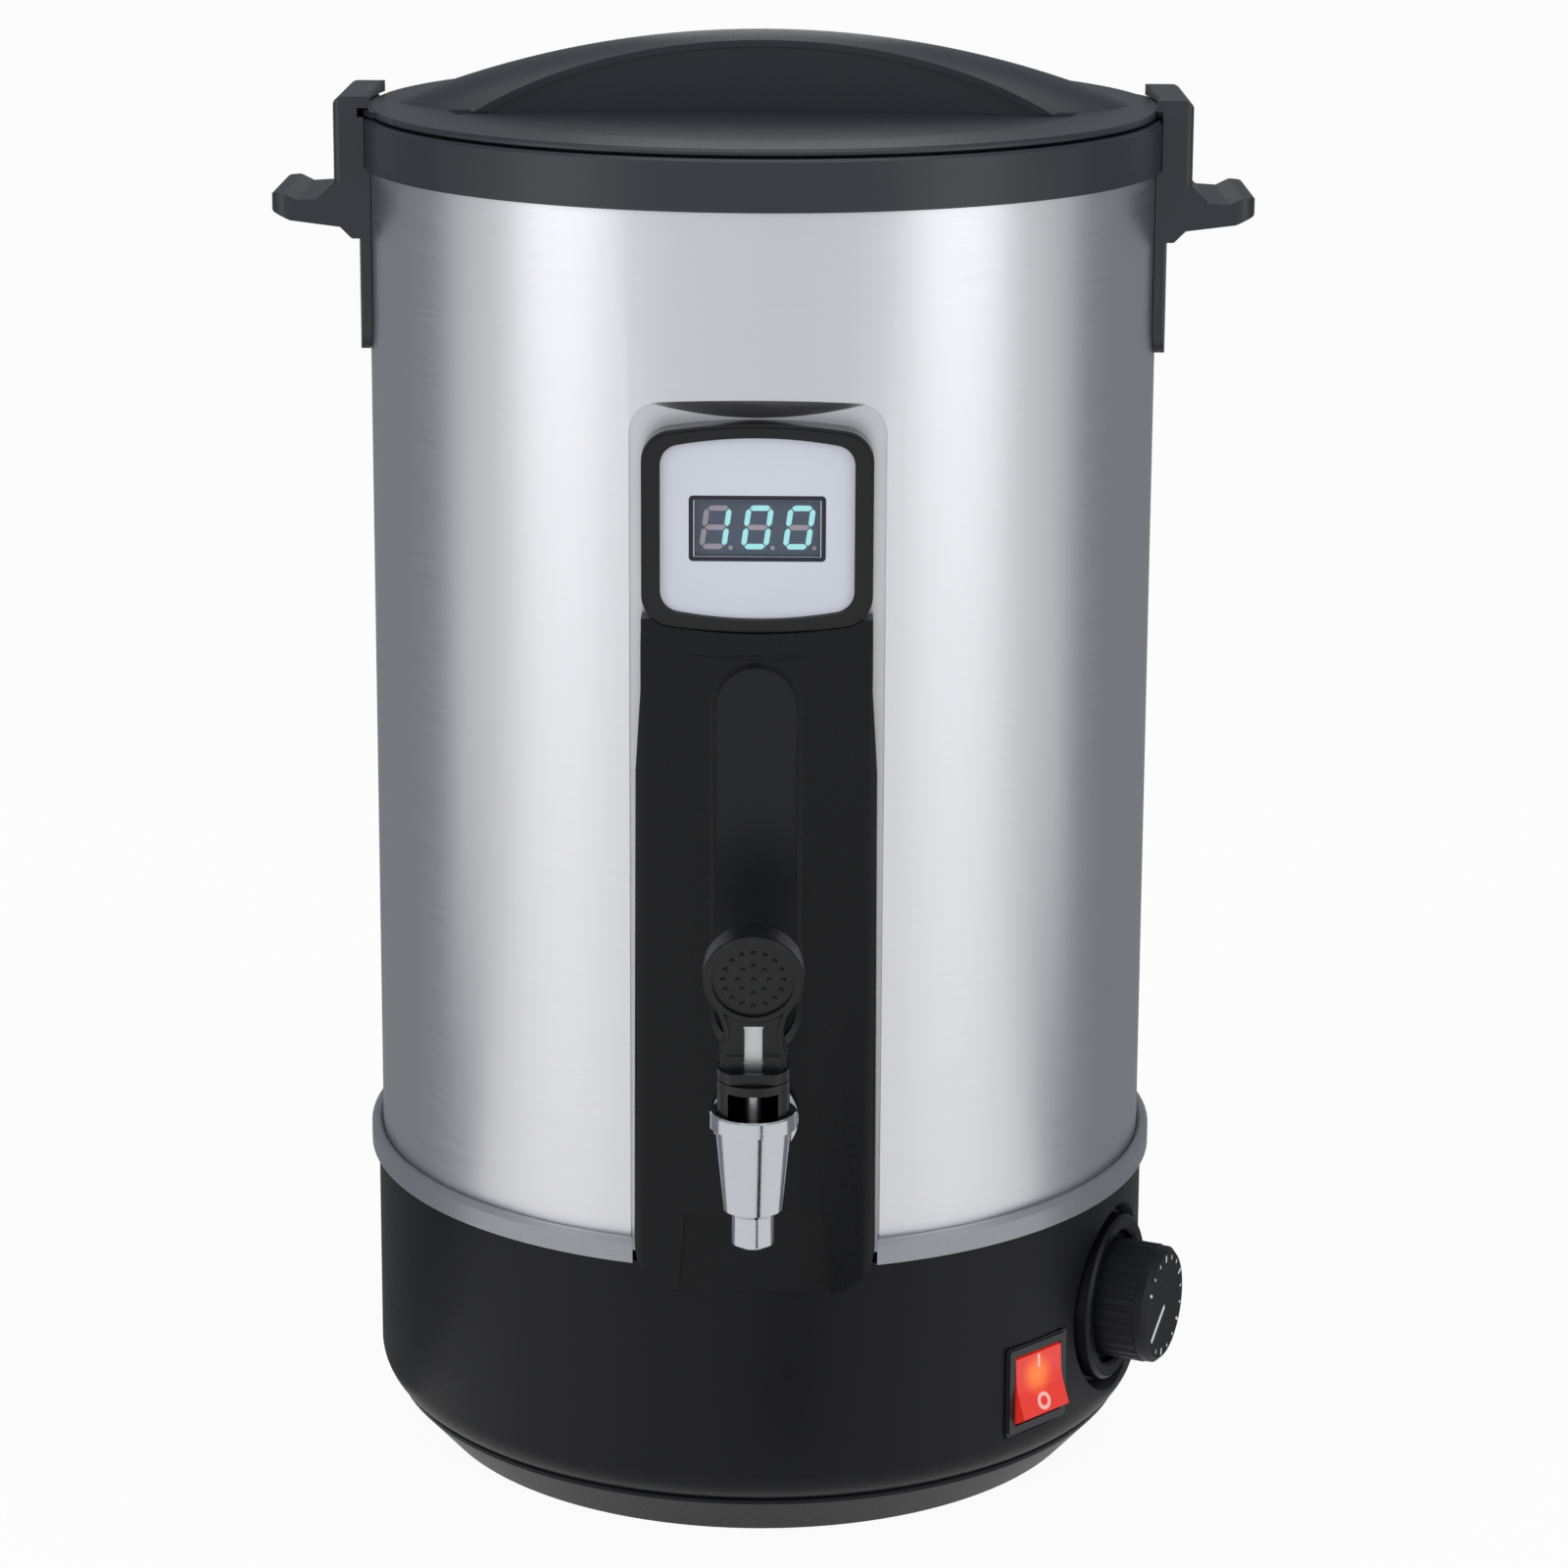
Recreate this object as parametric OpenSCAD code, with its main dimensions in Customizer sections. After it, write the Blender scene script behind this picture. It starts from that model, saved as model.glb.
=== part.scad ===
// Candle wax melter: an electric double-walled steel urn with a drip-proof tap.
// Frame: origin on the axis of the urn, at table level; +Z up; the tap faces -Y; handles on +X and -X.

/* [Body] */
// Outside diameter of the steel shell
shell_d = 240; // [225:1:270]
// Sheet thickness of the shell
shell_wall = 0.8; // [0.6:0.1:1.2]
// Height of the black base above the table
base_top = 90; // [86:1:96]
// Height of the collar's top edge above the table
collar_top = 415.4; // [405:0.1:450]

/* [Base] */
// How far the base wall stands out past the shell
base_over = 1.4; // [1:0.1:2.5]
// Wall thickness of the base housing
base_wall = 2.6; // [2:0.1:3.2]
// Radius of the rounded lower edge of the base housing
base_corner = 10.2; // [10:0.1:12]
// Height of the seam between the bottom cover and the housing
foot_h = 15; // [13:0.5:17]
// Height above the seam at which the base wall turns straight
corner_rise = 9; // [8.5:0.1:9.5]
// Diameter of the foot ring where it touches the table
foot_d = 209; // [200:1:212]
// Width of the flat foot ring
foot_w = 6.5; // [5:0.5:9]
// Height of the bottom plate above the table
foot_gap = 3; // [2:0.5:5]
// Thickness of the bottom plate
foot_plate = 2.5; // [2:0.1:3.5]

/* [Trim ring] */
// Height of the grey trim ring
ring_h = 7.2; // [6:0.1:9]
// How far the trim ring stands out past the base wall
ring_over = 2.2; // [1.5:0.1:3]
// Thickness of the ledge that carries the shell
ring_ledge = 2; // [1.5:0.1:3]

/* [Pot] */
// Space between the outside of the shell and the outside of the pot
pot_gap = 14; // [13:0.5:18]
// Sheet thickness of the pot
pot_wall = 1; // [0.8:0.1:1.5]
// Height of the pot's floor above the top of the base
pot_rise = 22; // [20:1:28]
// Radius of the pot's lower edge
pot_corner = 8; // [5:1:12]
// Width of the pot's rim flange
pot_rim = 9.5; // [7:0.5:9.5]

/* [Collar] */
// Height of the black collar
collar_h = 14.9; // [12:0.1:18]
// How far the collar stands out past the shell
collar_over = 1.7; // [1.4:0.1:3]
// Depth of the step in the collar that holds the pot's rim
rim_step = 2; // [1.8:0.1:2.6]

/* [Lid] */
// Gap between the lid's edge and the collar
lid_gap = 0.5; // [0.3:0.1:1]
// Thickness of the lid's plate
lid_plate = 2.1; // [1.9:0.1:3]
// Radius of the two finger recesses
recess_r = 97.5; // [85:0.5:100]
// Height of the grip bar's crest above the lid's edge
bar_rise = 22.2; // [16:0.1:26]
// Half width of the grip bar at its middle
bar_half = 12.5; // [10:0.5:16]
// How much wider the bar's half is at the recess tips
bar_flare = 14.5; // [8:0.5:18]
// Radius of the crown across the grip bar
bar_crown = 38; // [30:1:60]
// Depth of the lid's inner skirt
skirt_h = 9; // [6:0.5:14]
// Radial reach of the two locking tabs past the lid's edge
tab_reach = 3.7; // [3:0.1:4.5]

/* [Handles] */
// Half width of a handle bracket
handle_half = 24; // [18:0.5:26]
// How far the bracket's upright stands out past the shell
handle_out = 8.8; // [7:0.1:12]
// How far the grip stands out past the shell
grip_out = 28; // [24:1:40]
// Height of the grip's top below the collar's top
grip_drop = 23.4; // [20:0.1:30]
// Thickness of the grip
grip_t = 8; // [6:0.5:10]
// Length of the tail below the grip
tail_len = 40; // [25:1:50]
// Thickness of the tail
tail_t = 3; // [2:0.1:4]
// Thickness of the hook over the lid's tab
hook_t = 3.4; // [2.5:0.1:5]

/* [Tap panel] */
// Width of the panel at its foot
panel_w = 70.4; // [64:0.1:72]
// Width of the panel where it meets the display
panel_top_w = 65.8; // [60:0.1:68]
// How far the panel's face stands out past the shell
panel_out = 8; // [7:0.1:12]
// How far the panel hangs below the top of the base
panel_drop = 6.3; // [4:0.1:10]
// Width of the gauge slot
slot_w = 27.5; // [24:0.5:32]
// Gap between the top of the gauge slot and the display
slot_gap = 7; // [7:1:31]
// Width of the pressed channel in the shell
channel_w = 73; // [72.6:0.1:80]
// Depth of the channel behind the shell's front
channel_d = 7; // [5.5:0.1:7]

/* [Display] */
// Height of the display's middle above the table
display_z = 311; // [311:0.5:320]
// Width of the display bezel
bezel_w = 65.6; // [62:0.1:70]
// Height of the display bezel
bezel_h = 60; // [58:0.5:64]
// How far the bezel stands out past the shell
bezel_out = 2; // [1:0.1:4]
// Width of the silver face plate
label_w = 55; // [50:0.5:56]
// Height of the silver face plate
label_h = 52; // [46:0.5:53]
// Width of the number window
window_w = 35.6; // [35:0.1:40]
// Height of the number window
window_h = 16.2; // [15.6:0.1:20]
// Height of a lit number
digit_h = 12.6; // [9:0.1:13]
// Lean of the numbers, as a share of their height
digit_lean = 0.14; // [0:0.01:0.2]

/* [Tap] */
// Distance of the tap's axis from the panel's face
tap_reach = 37; // [30:0.5:45]
// Height of the tap's shank above the pot's floor
tap_rise = 28; // [26:0.5:34]
// Outside radius of the cup's rim
cup_r = 12.35; // [12:0.05:14]
// Height of the cup's rim band
rim_h = 4.5; // [3:0.1:6]
// Bore radius of the spout
spout_bore = 4.2; // [3:0.1:4.8]
// Outside radius of the spout
spout_r = 6.1; // [5.8:0.1:7]
// Length of the straight spout
spout_len = 9; // [6:0.5:14]
// Radius of the threaded shank
shank_r = 8; // [7:0.1:8.5]
// Radius of the valve stem
stem_r = 2.3; // [2:0.1:2.6]
// Radius of the lever's thumb pad
pad_r = 14; // [11:0.5:16]
// Forward lean of the lever, in degrees
lever_lean = 12; // [5:1:18]
// Coils in the valve spring
spring_turns = 6; // [4:1:7]

/* [Controls] */
// Direction of the dial, in degrees from the front towards +X
knob_dir = 66; // [62:1:80]
// Height of the dial's axis above the table
knob_z = 53; // [50:0.5:54]
// Radius of the dial knob
knob_r = 18.25; // [15:0.25:18.5]
// Length of the dial knob
knob_len = 18.5; // [14:0.5:24]
// Outside radius of the ring around the dial
dial_r = 25.6; // [24:0.1:26]
// Direction of the mains switch, in degrees from the front towards +X
switch_dir = 44.4; // [34:0.1:45]
// Height of the switch's middle above the table
switch_z = 40; // [40:0.5:60]
// Width of the switch's frame
switch_w = 26; // [25:0.1:27]
// Height of the switch's frame
switch_h = 28; // [27:0.1:30]
// Swing of the rocker from on to off, in degrees
rocker_swing = 24; // [16:1:26]
// Height of the mains inlet above the table
inlet_z = 48; // [42:1:60]

/* [Hidden] */
$fn = 96;

eps = 0.01;         // overshoot of a cut past the surface that it opens
seat_gap = 0.15;    // clearance of a sheet edge in its groove
run_gap = 0.05;     // radial clearance of a shaft in its bore
rest_gap = 0.3;     // clearance between pieces that move past each other

// Radii, all measured from the axis of the urn
shell_r = shell_d / 2;
shell_in = shell_r - shell_wall;
base_r = shell_r + base_over;
base_in = base_r - base_wall;
ring_r = base_r + ring_over;
collar_r = shell_r + collar_over;
pot_r = shell_r - pot_gap;
pot_in = pot_r - pot_wall;
lid_r = shell_r - 0.3;
foot_r = foot_d / 2;

// Heights above the table
corner_z = foot_h + corner_rise;
shell_foot = base_top + ring_ledge;
pot_floor = base_top + pot_rise;
rim_top = collar_top - rim_step + pot_wall;
shell_top = collar_top - rim_step - 3;
lid_under = collar_top + lid_gap;
lid_top = lid_under + lid_plate;
deck_t = 2.6;
deck_r = 90;
plate_t = 4;        // thickness of the aluminium heating plate
plate_under = pot_floor - plate_t;

// Distances along -Y of the front of the urn
flat_y = shell_r - channel_d;          // outside of the shell's pressed flat
flat_in = flat_y - shell_wall;         // inside of it
face_y = shell_r + panel_out;          // front of the tap panel
tap_y = face_y + tap_reach;            // axis of the tap
tap_z = pot_floor + tap_rise;          // axis of the tap's shank
bezel_y = shell_r + bezel_out;         // front of the display bezel
panel_foot = base_top - panel_drop;
bezel_foot = display_z - bezel_h / 2;
slot_top = bezel_foot - slot_gap;
bezel_top = display_z + bezel_h / 2;

// Colours of the finishes
black_plastic = [0.16, 0.16, 0.18];
lid_plastic = [0.22, 0.23, 0.26];
steel = [0.78, 0.77, 0.76];
bright = [0.85, 0.86, 0.88];
ring_grey = [0.60, 0.60, 0.63];
silicone = [0.75, 0.74, 0.70];
brass = [0.80, 0.66, 0.36];

// ---------- shared shapes ----------

function unit(v) = v / norm(v);

// A tube on the Z axis
module tube(r_out, r_in, z0, z1) {
    translate([0, 0, z0]) difference() {
        cylinder(r = r_out, h = z1 - z0);
        translate([0, 0, -1]) cylinder(r = r_in, h = z1 - z0 + 2);
    }
}

// A cylinder that runs out of the urn along -Y, from distance d0 to d1
module front_rod(r, d0, d1, x = 0, z = 0) {
    translate([x, -d0, z]) rotate([90, 0, 0]) cylinder(r = r, h = d1 - d0);
}

// A cone on the same line, radius r0 at d0 and r1 at d1
module front_cone(r0, r1, d0, d1, x = 0, z = 0) {
    translate([x, -d0, z]) rotate([90, 0, 0]) cylinder(r1 = r0, r2 = r1, h = d1 - d0);
}

// An outline drawn in X and Z, pushed out along -Y from distance d0 to d1
module front_plate(d0, d1) {
    translate([0, -d0, 0]) rotate([90, 0, 0]) linear_extrude(d1 - d0) children();
}

// A part modelled at the front, turned to face another direction
module facing(angle) {
    rotate([0, 0, angle]) children();
}

// A rectangle with round corners, centred
module round_rect(w, h, r) {
    square([w - 2 * r, h], center = true);
    square([w, h - 2 * r], center = true);
    for (x = [-1, 1], y = [-1, 1]) translate([x * (w / 2 - r), y * (h / 2 - r)]) circle(r = r);
}

// An upright slot outline with round ends, from z0 to z1
module slot_outline(w, z0, z1) {
    translate([-w / 2, z0 + w / 2]) square([w, z1 - z0 - w]);
    for (z = [z0 + w / 2, z1 - w / 2]) translate([0, z]) circle(d = w);
}

// A round cup's half section: radius r, floor at z0, top at z1, lower edge of radius c
module cup_section(r, z0, z1, c) {
    translate([0, z0 + c]) square([r, z1 - z0 - c]);
    translate([0, z0]) square([r - c, c + eps]);
    intersection() {
        translate([r - c, z0 + c]) circle(r = c);
        translate([0, z0]) square([r, c + eps]);
    }
}

// A rectangle whose top and bottom edges bow out, with round corners
module bowed_rect(w, h, r, bow) {
    bow_r = (w * w / 4 + bow * bow) / (2 * bow);
    bow_at = h / 2 - bow_r;
    // middle of the corner arc that touches both the side and the bow, and the line between their middles
    corner = [w / 2 - r, bow_at + sqrt(pow(bow_r - r, 2) - pow(w / 2 - r, 2))];
    out = unit(corner - [0, bow_at]);
    difference() {
        intersection() {
            square([w, h], center = true);
            translate([0, bow_at]) circle(r = bow_r, $fn = 360);
            translate([0, -bow_at]) circle(r = bow_r, $fn = 360);
        }
        for (x = [0, 1], y = [0, 1]) mirror([x, 0]) mirror([0, y]) difference() {
            polygon([corner, corner + (r + 12) * out, [w / 2 + 12, h / 2 + 12], [w / 2 + 12, corner[1]]]);
            translate(corner) circle(r = r);
        }
    }
}

// A pan-head screw on the Z axis: head below z = 0, shaft up to len
module pan_screw(len, r = 1.5, head_r = 3, head_h = 2) {
    cylinder(r = r, h = len);
    translate([0, 0, -head_h]) difference() {
        cylinder(r1 = head_r - 0.5, r2 = head_r, h = head_h);
        for (a = [0, 90]) rotate([0, 0, a]) translate([-head_r * 0.55, -0.4, -1]) cube([head_r * 1.1, 0.8, 1.9]);
    }
}

// ---------- base ----------

module base_section(inset) {
    r = base_r - inset;
    c = base_corner - inset;
    translate([0, corner_z]) square([r, base_top - corner_z]);
    intersection() {
        union() {
            translate([base_r - base_corner, corner_z]) circle(r = c);
            translate([0, corner_z - c]) square([base_r - base_corner, c]);
        }
        translate([0, foot_h]) square([r, corner_rise + eps]);
    }
}

cover_boss_r = 5.5;
cover_screw_r = foot_r - foot_w - cover_boss_r - 0.5;    // distance of the cover's screws from the axis
cover_screw_at = [0, 60, 120, 180, 240, 290];            // clear of the dial, the switch and the inlet
cover_screw_len = 16;
switch_seat = base_r - 1;         // flat under the switch's frame
dial_seat = base_r - 4.4;         // flat under the dial ring
inlet_seat = base_r - 3;          // flat under the inlet's flange
boss_t = 4;                       // thickness of the wall behind those flats

module base_housing() {
    color(black_plastic) difference() {
        union() {
            difference() {
                rotate_extrude() base_section(0);
                rotate_extrude() intersection() {
                    base_section(base_wall);
                    square([base_r, base_top - deck_t]);
                }
                cylinder(r = base_r - base_corner - 2, h = base_top - deck_t);
                cylinder(r = deck_r, h = base_top + 1);
            }
            // thick wall behind the dial, the switch and the inlet
            intersection() {
                translate([0, 0, foot_h]) cylinder(r = base_r - 0.5, h = base_top - foot_h - 1);
                union() {
                    facing(knob_dir) front_rod(dial_r + 6, dial_seat - boss_t, base_r, z = knob_z);
                    facing(180) front_plate(inlet_seat - boss_t, base_r)
                        translate([0, inlet_z]) round_rect(56, 30, 4);
                }
            }
            // screw columns with their ribs
            for (a = cover_screw_at) rotate([0, 0, a]) {
                translate([cover_screw_r, 0, foot_h]) cylinder(r = 4.5, h = 26);
                translate([cover_screw_r, -1.25, foot_h + 6]) cube([base_in - cover_screw_r + 0.5, 2.5, 20]);
            }
        }
        // flat and hole of the dial
        facing(knob_dir) {
            front_cone(dial_r + 1, dial_r + 4.6, dial_seat, base_r + 1, z = knob_z);
            front_rod(5 + run_gap, 80, base_r, z = knob_z);
        }
        // flat and hole of the switch
        facing(switch_dir) {
            front_plate(switch_seat, base_r + 2) translate([0, switch_z]) square([switch_w + 1, switch_h + 1], center = true);
            front_plate(80, base_r) translate([0, switch_z]) square([switch_w - 2, switch_h - 2], center = true);
        }
        // flat and hole of the inlet
        facing(180) {
            front_plate(inlet_seat, base_r + 2) translate([0, inlet_z]) round_rect(51, 26, 3);
            front_plate(80, base_r) translate([0, inlet_z]) square([28, 21], center = true);
            for (x = [-20, 20]) front_rod(1.5 + run_gap, inlet_seat - boss_t - 1, base_r, x = x, z = inlet_z);
        }
        for (a = cover_screw_at) rotate([0, 0, a])
            translate([cover_screw_r, 0, foot_h - 1]) cylinder(r = 1.5 + run_gap, h = 20);
    }
}

module bottom_cover() {
    seam_r = base_r - base_corner + sqrt(pow(base_corner, 2) - pow(corner_rise, 2)) - 0.6;
    color(black_plastic) difference() {
        union() {
            rotate_extrude() difference() {
                polygon([[0, foot_gap], [foot_r - foot_w, foot_gap], [foot_r - foot_w, 0], [foot_r, 0],
                    [seam_r + 1, foot_h - 1.8], [seam_r + 1, foot_h - 0.7], [seam_r + 0.3, foot_h], [0, foot_h]]);
                polygon([[0, foot_gap + foot_plate], [foot_r + 1, foot_gap + foot_plate],
                    [seam_r - 4, foot_h], [seam_r - 4, foot_h + 1], [0, foot_h + 1]]);
            }
            for (a = cover_screw_at) rotate([0, 0, a])
                translate([cover_screw_r, 0, foot_gap]) cylinder(r = cover_boss_r, h = foot_h - foot_gap);
        }
        for (a = cover_screw_at) rotate([0, 0, a]) translate([cover_screw_r, 0, 0]) {
            translate([0, 0, -1]) cylinder(r = 1.5 + run_gap, h = foot_h + 2);
            translate([0, 0, -1]) cylinder(r = 3.6, h = foot_h - 3);
        }
        // ring of vent slots
        for (a = [0 : 15 : 345]) rotate([0, 0, a]) translate([58, 0, 0]) vent_slot(26, 4);
    }
}

// A slot along X, cut upwards through the bottom plate
module vent_slot(len, w) {
    translate([0, 0, foot_gap - 1]) linear_extrude(foot_plate + 2) {
        square([len - w, w], center = true);
        for (x = [-(len - w) / 2, (len - w) / 2]) translate([x, 0]) circle(d = w, $fn = 24);
    }
}

module cover_screws() {
    color(bright) for (a = cover_screw_at) rotate([0, 0, a])
        translate([cover_screw_r, 0, foot_h - 4]) pan_screw(cover_screw_len);
}

module trim_ring() {
    color(ring_grey) difference() {
        rotate_extrude() polygon([[base_in, base_top], [ring_r, base_top], [ring_r, base_top + ring_h - 1.4],
            [ring_r - 1.2, base_top + ring_h], [shell_r + 1.2, base_top + ring_h],
            [shell_r + seat_gap, base_top + ring_h - 1.2], [shell_r + seat_gap, shell_foot],
            [base_in, shell_foot]]);
        // gap for the tap panel, with slanted ends
        translate([0, 0, base_top - 1]) linear_extrude(ring_h + 2)
            polygon([[-panel_w / 2 - 0.2, -ring_r - 1], [panel_w / 2 + 0.2, -ring_r - 1],
                [panel_w / 2 + 3, -90], [-panel_w / 2 - 3, -90]]);
    }
}

// ---------- shell, pot and collar ----------

// The space of the pressed channel, grown by the wall for the inside of the sheet. Its top wall slopes outwards
// as a cone round the urn's axis, so that it meets the shell along a level edge.
module channel_space(grow) {
    slope_foot = bezel_top + rest_gap;
    top = slope_foot + channel_d - shell_wall + grow;      // below the cone's edge on the shell
    drawn_h = top + 100;
    reach = 21;
    intersection() {
        front_plate(flat_y - grow, shell_r + reach) translate([0, top - drawn_h / 2])
            bowed_rect(channel_w + 2 * grow, drawn_h, channel_corner + grow, 2);
        translate([0, 0, slope_foot - flat_y + grow * sqrt(2)]) rotate_extrude()
            polygon([[flat_y - 10, -bezel_top], [shell_r + reach + 4, -bezel_top],
                [shell_r + reach + 4, shell_r + reach + 4], [flat_y - 10, flat_y - 10]]);
    }
}

channel_corner = 9;
panel_screw_at = [for (x = [-1, 1], z = [pot_floor, bezel_foot - 33]) [x * (panel_w / 2 - 11.2), z]];
bezel_screw_at = [for (x = [-1, 1]) [x * (bezel_w / 2 - 6.3), 0]];
handle_screw_y = 14;
handle_screw_z = collar_top - grip_drop - grip_t / 2;

module outer_shell() {
    color(steel) difference() {
        translate([0, 0, shell_foot]) cylinder(r = shell_r, h = shell_top - shell_foot);
        channel_space(0);
        difference() {
            translate([0, 0, shell_foot - 1]) cylinder(r = shell_in, h = shell_top - shell_foot + 2);
            channel_space(shell_wall);
        }
        front_rod(shank_r + 0.6, 80, shell_r, z = tap_z);
        front_plate(80, shell_r) translate([0, display_z]) square([48, 44], center = true);
        for (p = panel_screw_at) front_rod(1.5 + run_gap, 80, shell_r, x = p[0], z = p[1]);
        for (p = bezel_screw_at) front_rod(1.5 + run_gap, 80, shell_r, x = p[0], z = display_z + p[1]);
        for (side = [90, 270], y = [-1, 1]) facing(side)
            front_rod(1.5 + run_gap, 80, shell_r + 1, x = y * handle_screw_y, z = handle_screw_z);
    }
}

module insulation_jacket() {
    color([0.88, 0.84, 0.70]) difference() {
        tube(shell_in - 2, pot_r + 0.8, shell_foot + 6, handle_screw_z - 12);
        translate([-40, -shell_r, 0]) cube([80, shell_r / 2 + 20, collar_top]);
    }
}

module inner_pot() {
    color(steel) difference() {
        rotate_extrude() {
            difference() {
                cup_section(pot_r, pot_floor, rim_top, pot_corner);
                cup_section(pot_in, pot_floor + pot_wall, rim_top + 1, pot_corner - pot_wall);
            }
            translate([pot_in, rim_top - pot_wall]) square([pot_rim, pot_wall]);
        }
        front_rod(shank_r + 0.2, pot_in - 8, pot_r + 1, z = tap_z);
    }
}

module collar() {
    step = collar_top - rim_step;
    groove_in = shell_in - seat_gap;
    color(lid_plastic) rotate_extrude() polygon([[collar_r, collar_top - collar_h], [collar_r, collar_top - 0.8],
        [collar_r - 0.8, collar_top], [pot_in + pot_rim + rest_gap, collar_top],
        [pot_in + pot_rim + rest_gap, step], [pot_r + rest_gap, step], [pot_r + rest_gap, shell_top],
        [groove_in - 1.6, shell_top], [groove_in - 1.6, shell_top - 4], [groove_in, shell_top - 4],
        [groove_in, shell_top], [shell_r + seat_gap, shell_top], [shell_r + seat_gap, collar_top - collar_h]]);
}

// ---------- lid ----------

recess_chord = recess_r * 0.96;
flare_r = (pow(recess_chord, 2) + pow(bar_flare, 2)) / (2 * bar_flare);
arch_chord = lid_r - 8;
arch_r = (pow(arch_chord, 2) + pow(bar_rise, 2)) / (2 * bar_rise);
skirt_r = pot_in - 1;

// Plan of the bar between the two finger recesses, drawn in by a margin
module bar_plan(margin) {
    difference() {
        circle(r = lid_r - 2 - margin);
        for (side = [-1, 1]) translate([0, side * (bar_half + flare_r)]) circle(r = flare_r + margin, $fn = 360);
    }
}

// The crowned arch that spans the lid from one handle to the other, lowered by drop
module arch(drop) {
    translate([0, 0, lid_top + bar_rise - arch_r]) rotate([90, 0, 0]) rotate_extrude($fn = 360)
        intersection() {
            translate([arch_r - drop - bar_rise - 10, -45]) square([bar_rise + 10, 90]);
            translate([arch_r - bar_crown, 0]) circle(r = bar_crown - drop);
        }
}

// The arch cut to the bar's plan, from height z0 up
module bar_body(drop, margin, z0) {
    intersection() {
        arch(drop);
        translate([0, 0, z0]) linear_extrude(bar_rise + 20) bar_plan(margin);
    }
}

// One locking tab, drawn on the +X side with its leading end swept back
module lid_tab() {
    reach = lid_r + tab_reach;
    translate([0, 0, lid_under]) linear_extrude(lid_plate - 0.2) intersection() {
        circle(r = reach, $fn = 200);
        polygon([[110 * cos(8), -110 * sin(8)], [140 * cos(8), -140 * sin(8)], [140, 20],
            [reach * cos(8), reach * sin(8)], [lid_r * cos(15), lid_r * sin(15)], [110 * cos(15), 110 * sin(15)]]);
    }
}

module lid() {
    color(lid_plastic) difference() {
        union() {
            difference() {
                rotate_extrude($fn = 200) polygon([[0, lid_under - 1], [skirt_r - 1.8, lid_under - 1],
                    [skirt_r - 1.8, lid_under - skirt_h], [skirt_r, lid_under - skirt_h], [skirt_r, lid_under],
                    [lid_r - 0.5, lid_under], [lid_r, lid_under + 0.5], [lid_r, lid_top - 0.8],
                    [lid_r - 0.8, lid_top], [0, lid_top]]);
                // the two finger recesses
                translate([0, 0, lid_top - 1]) linear_extrude(5) difference() {
                    circle(r = recess_r, $fn = 200);
                    bar_plan(1);
                }
            }
            bar_body(0, 0, lid_top - 0.5);
            for (turn = [0, 180]) rotate([0, 0, turn]) lid_tab();
        }
        // undercut of the bar's faces below its lip
        difference() {
            translate([0, 0, lid_top - 1]) linear_extrude(bar_rise + 5) intersection() {
                difference() {
                    bar_plan(0);
                    bar_plan(1);
                }
                circle(r = recess_r);
            }
            intersection() {
                difference() {
                    arch(-1);
                    arch(1.8);
                }
                translate([0, 0, lid_top - 2]) cylinder(r = lid_r, h = bar_rise + 20);
            }
        }
        // hollow under the bar, inside the skirt
        intersection() {
            bar_body(3, 3.4, lid_under - 2);
            cylinder(r = skirt_r - 4, h = lid_top + bar_rise);
        }
        // groove for the gasket
        translate([0, 0, lid_under - 1]) tube(gasket_out + seat_gap, gasket_in - seat_gap, 0, 1.8);
    }
}

gasket_in = pot_r + 1.2;
gasket_out = pot_in + pot_rim - 1.5;

module lid_gasket() {
    color(silicone) tube(gasket_out, gasket_in, rim_top + rest_gap, lid_under + 0.7);
}

// ---------- handles ----------

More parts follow.
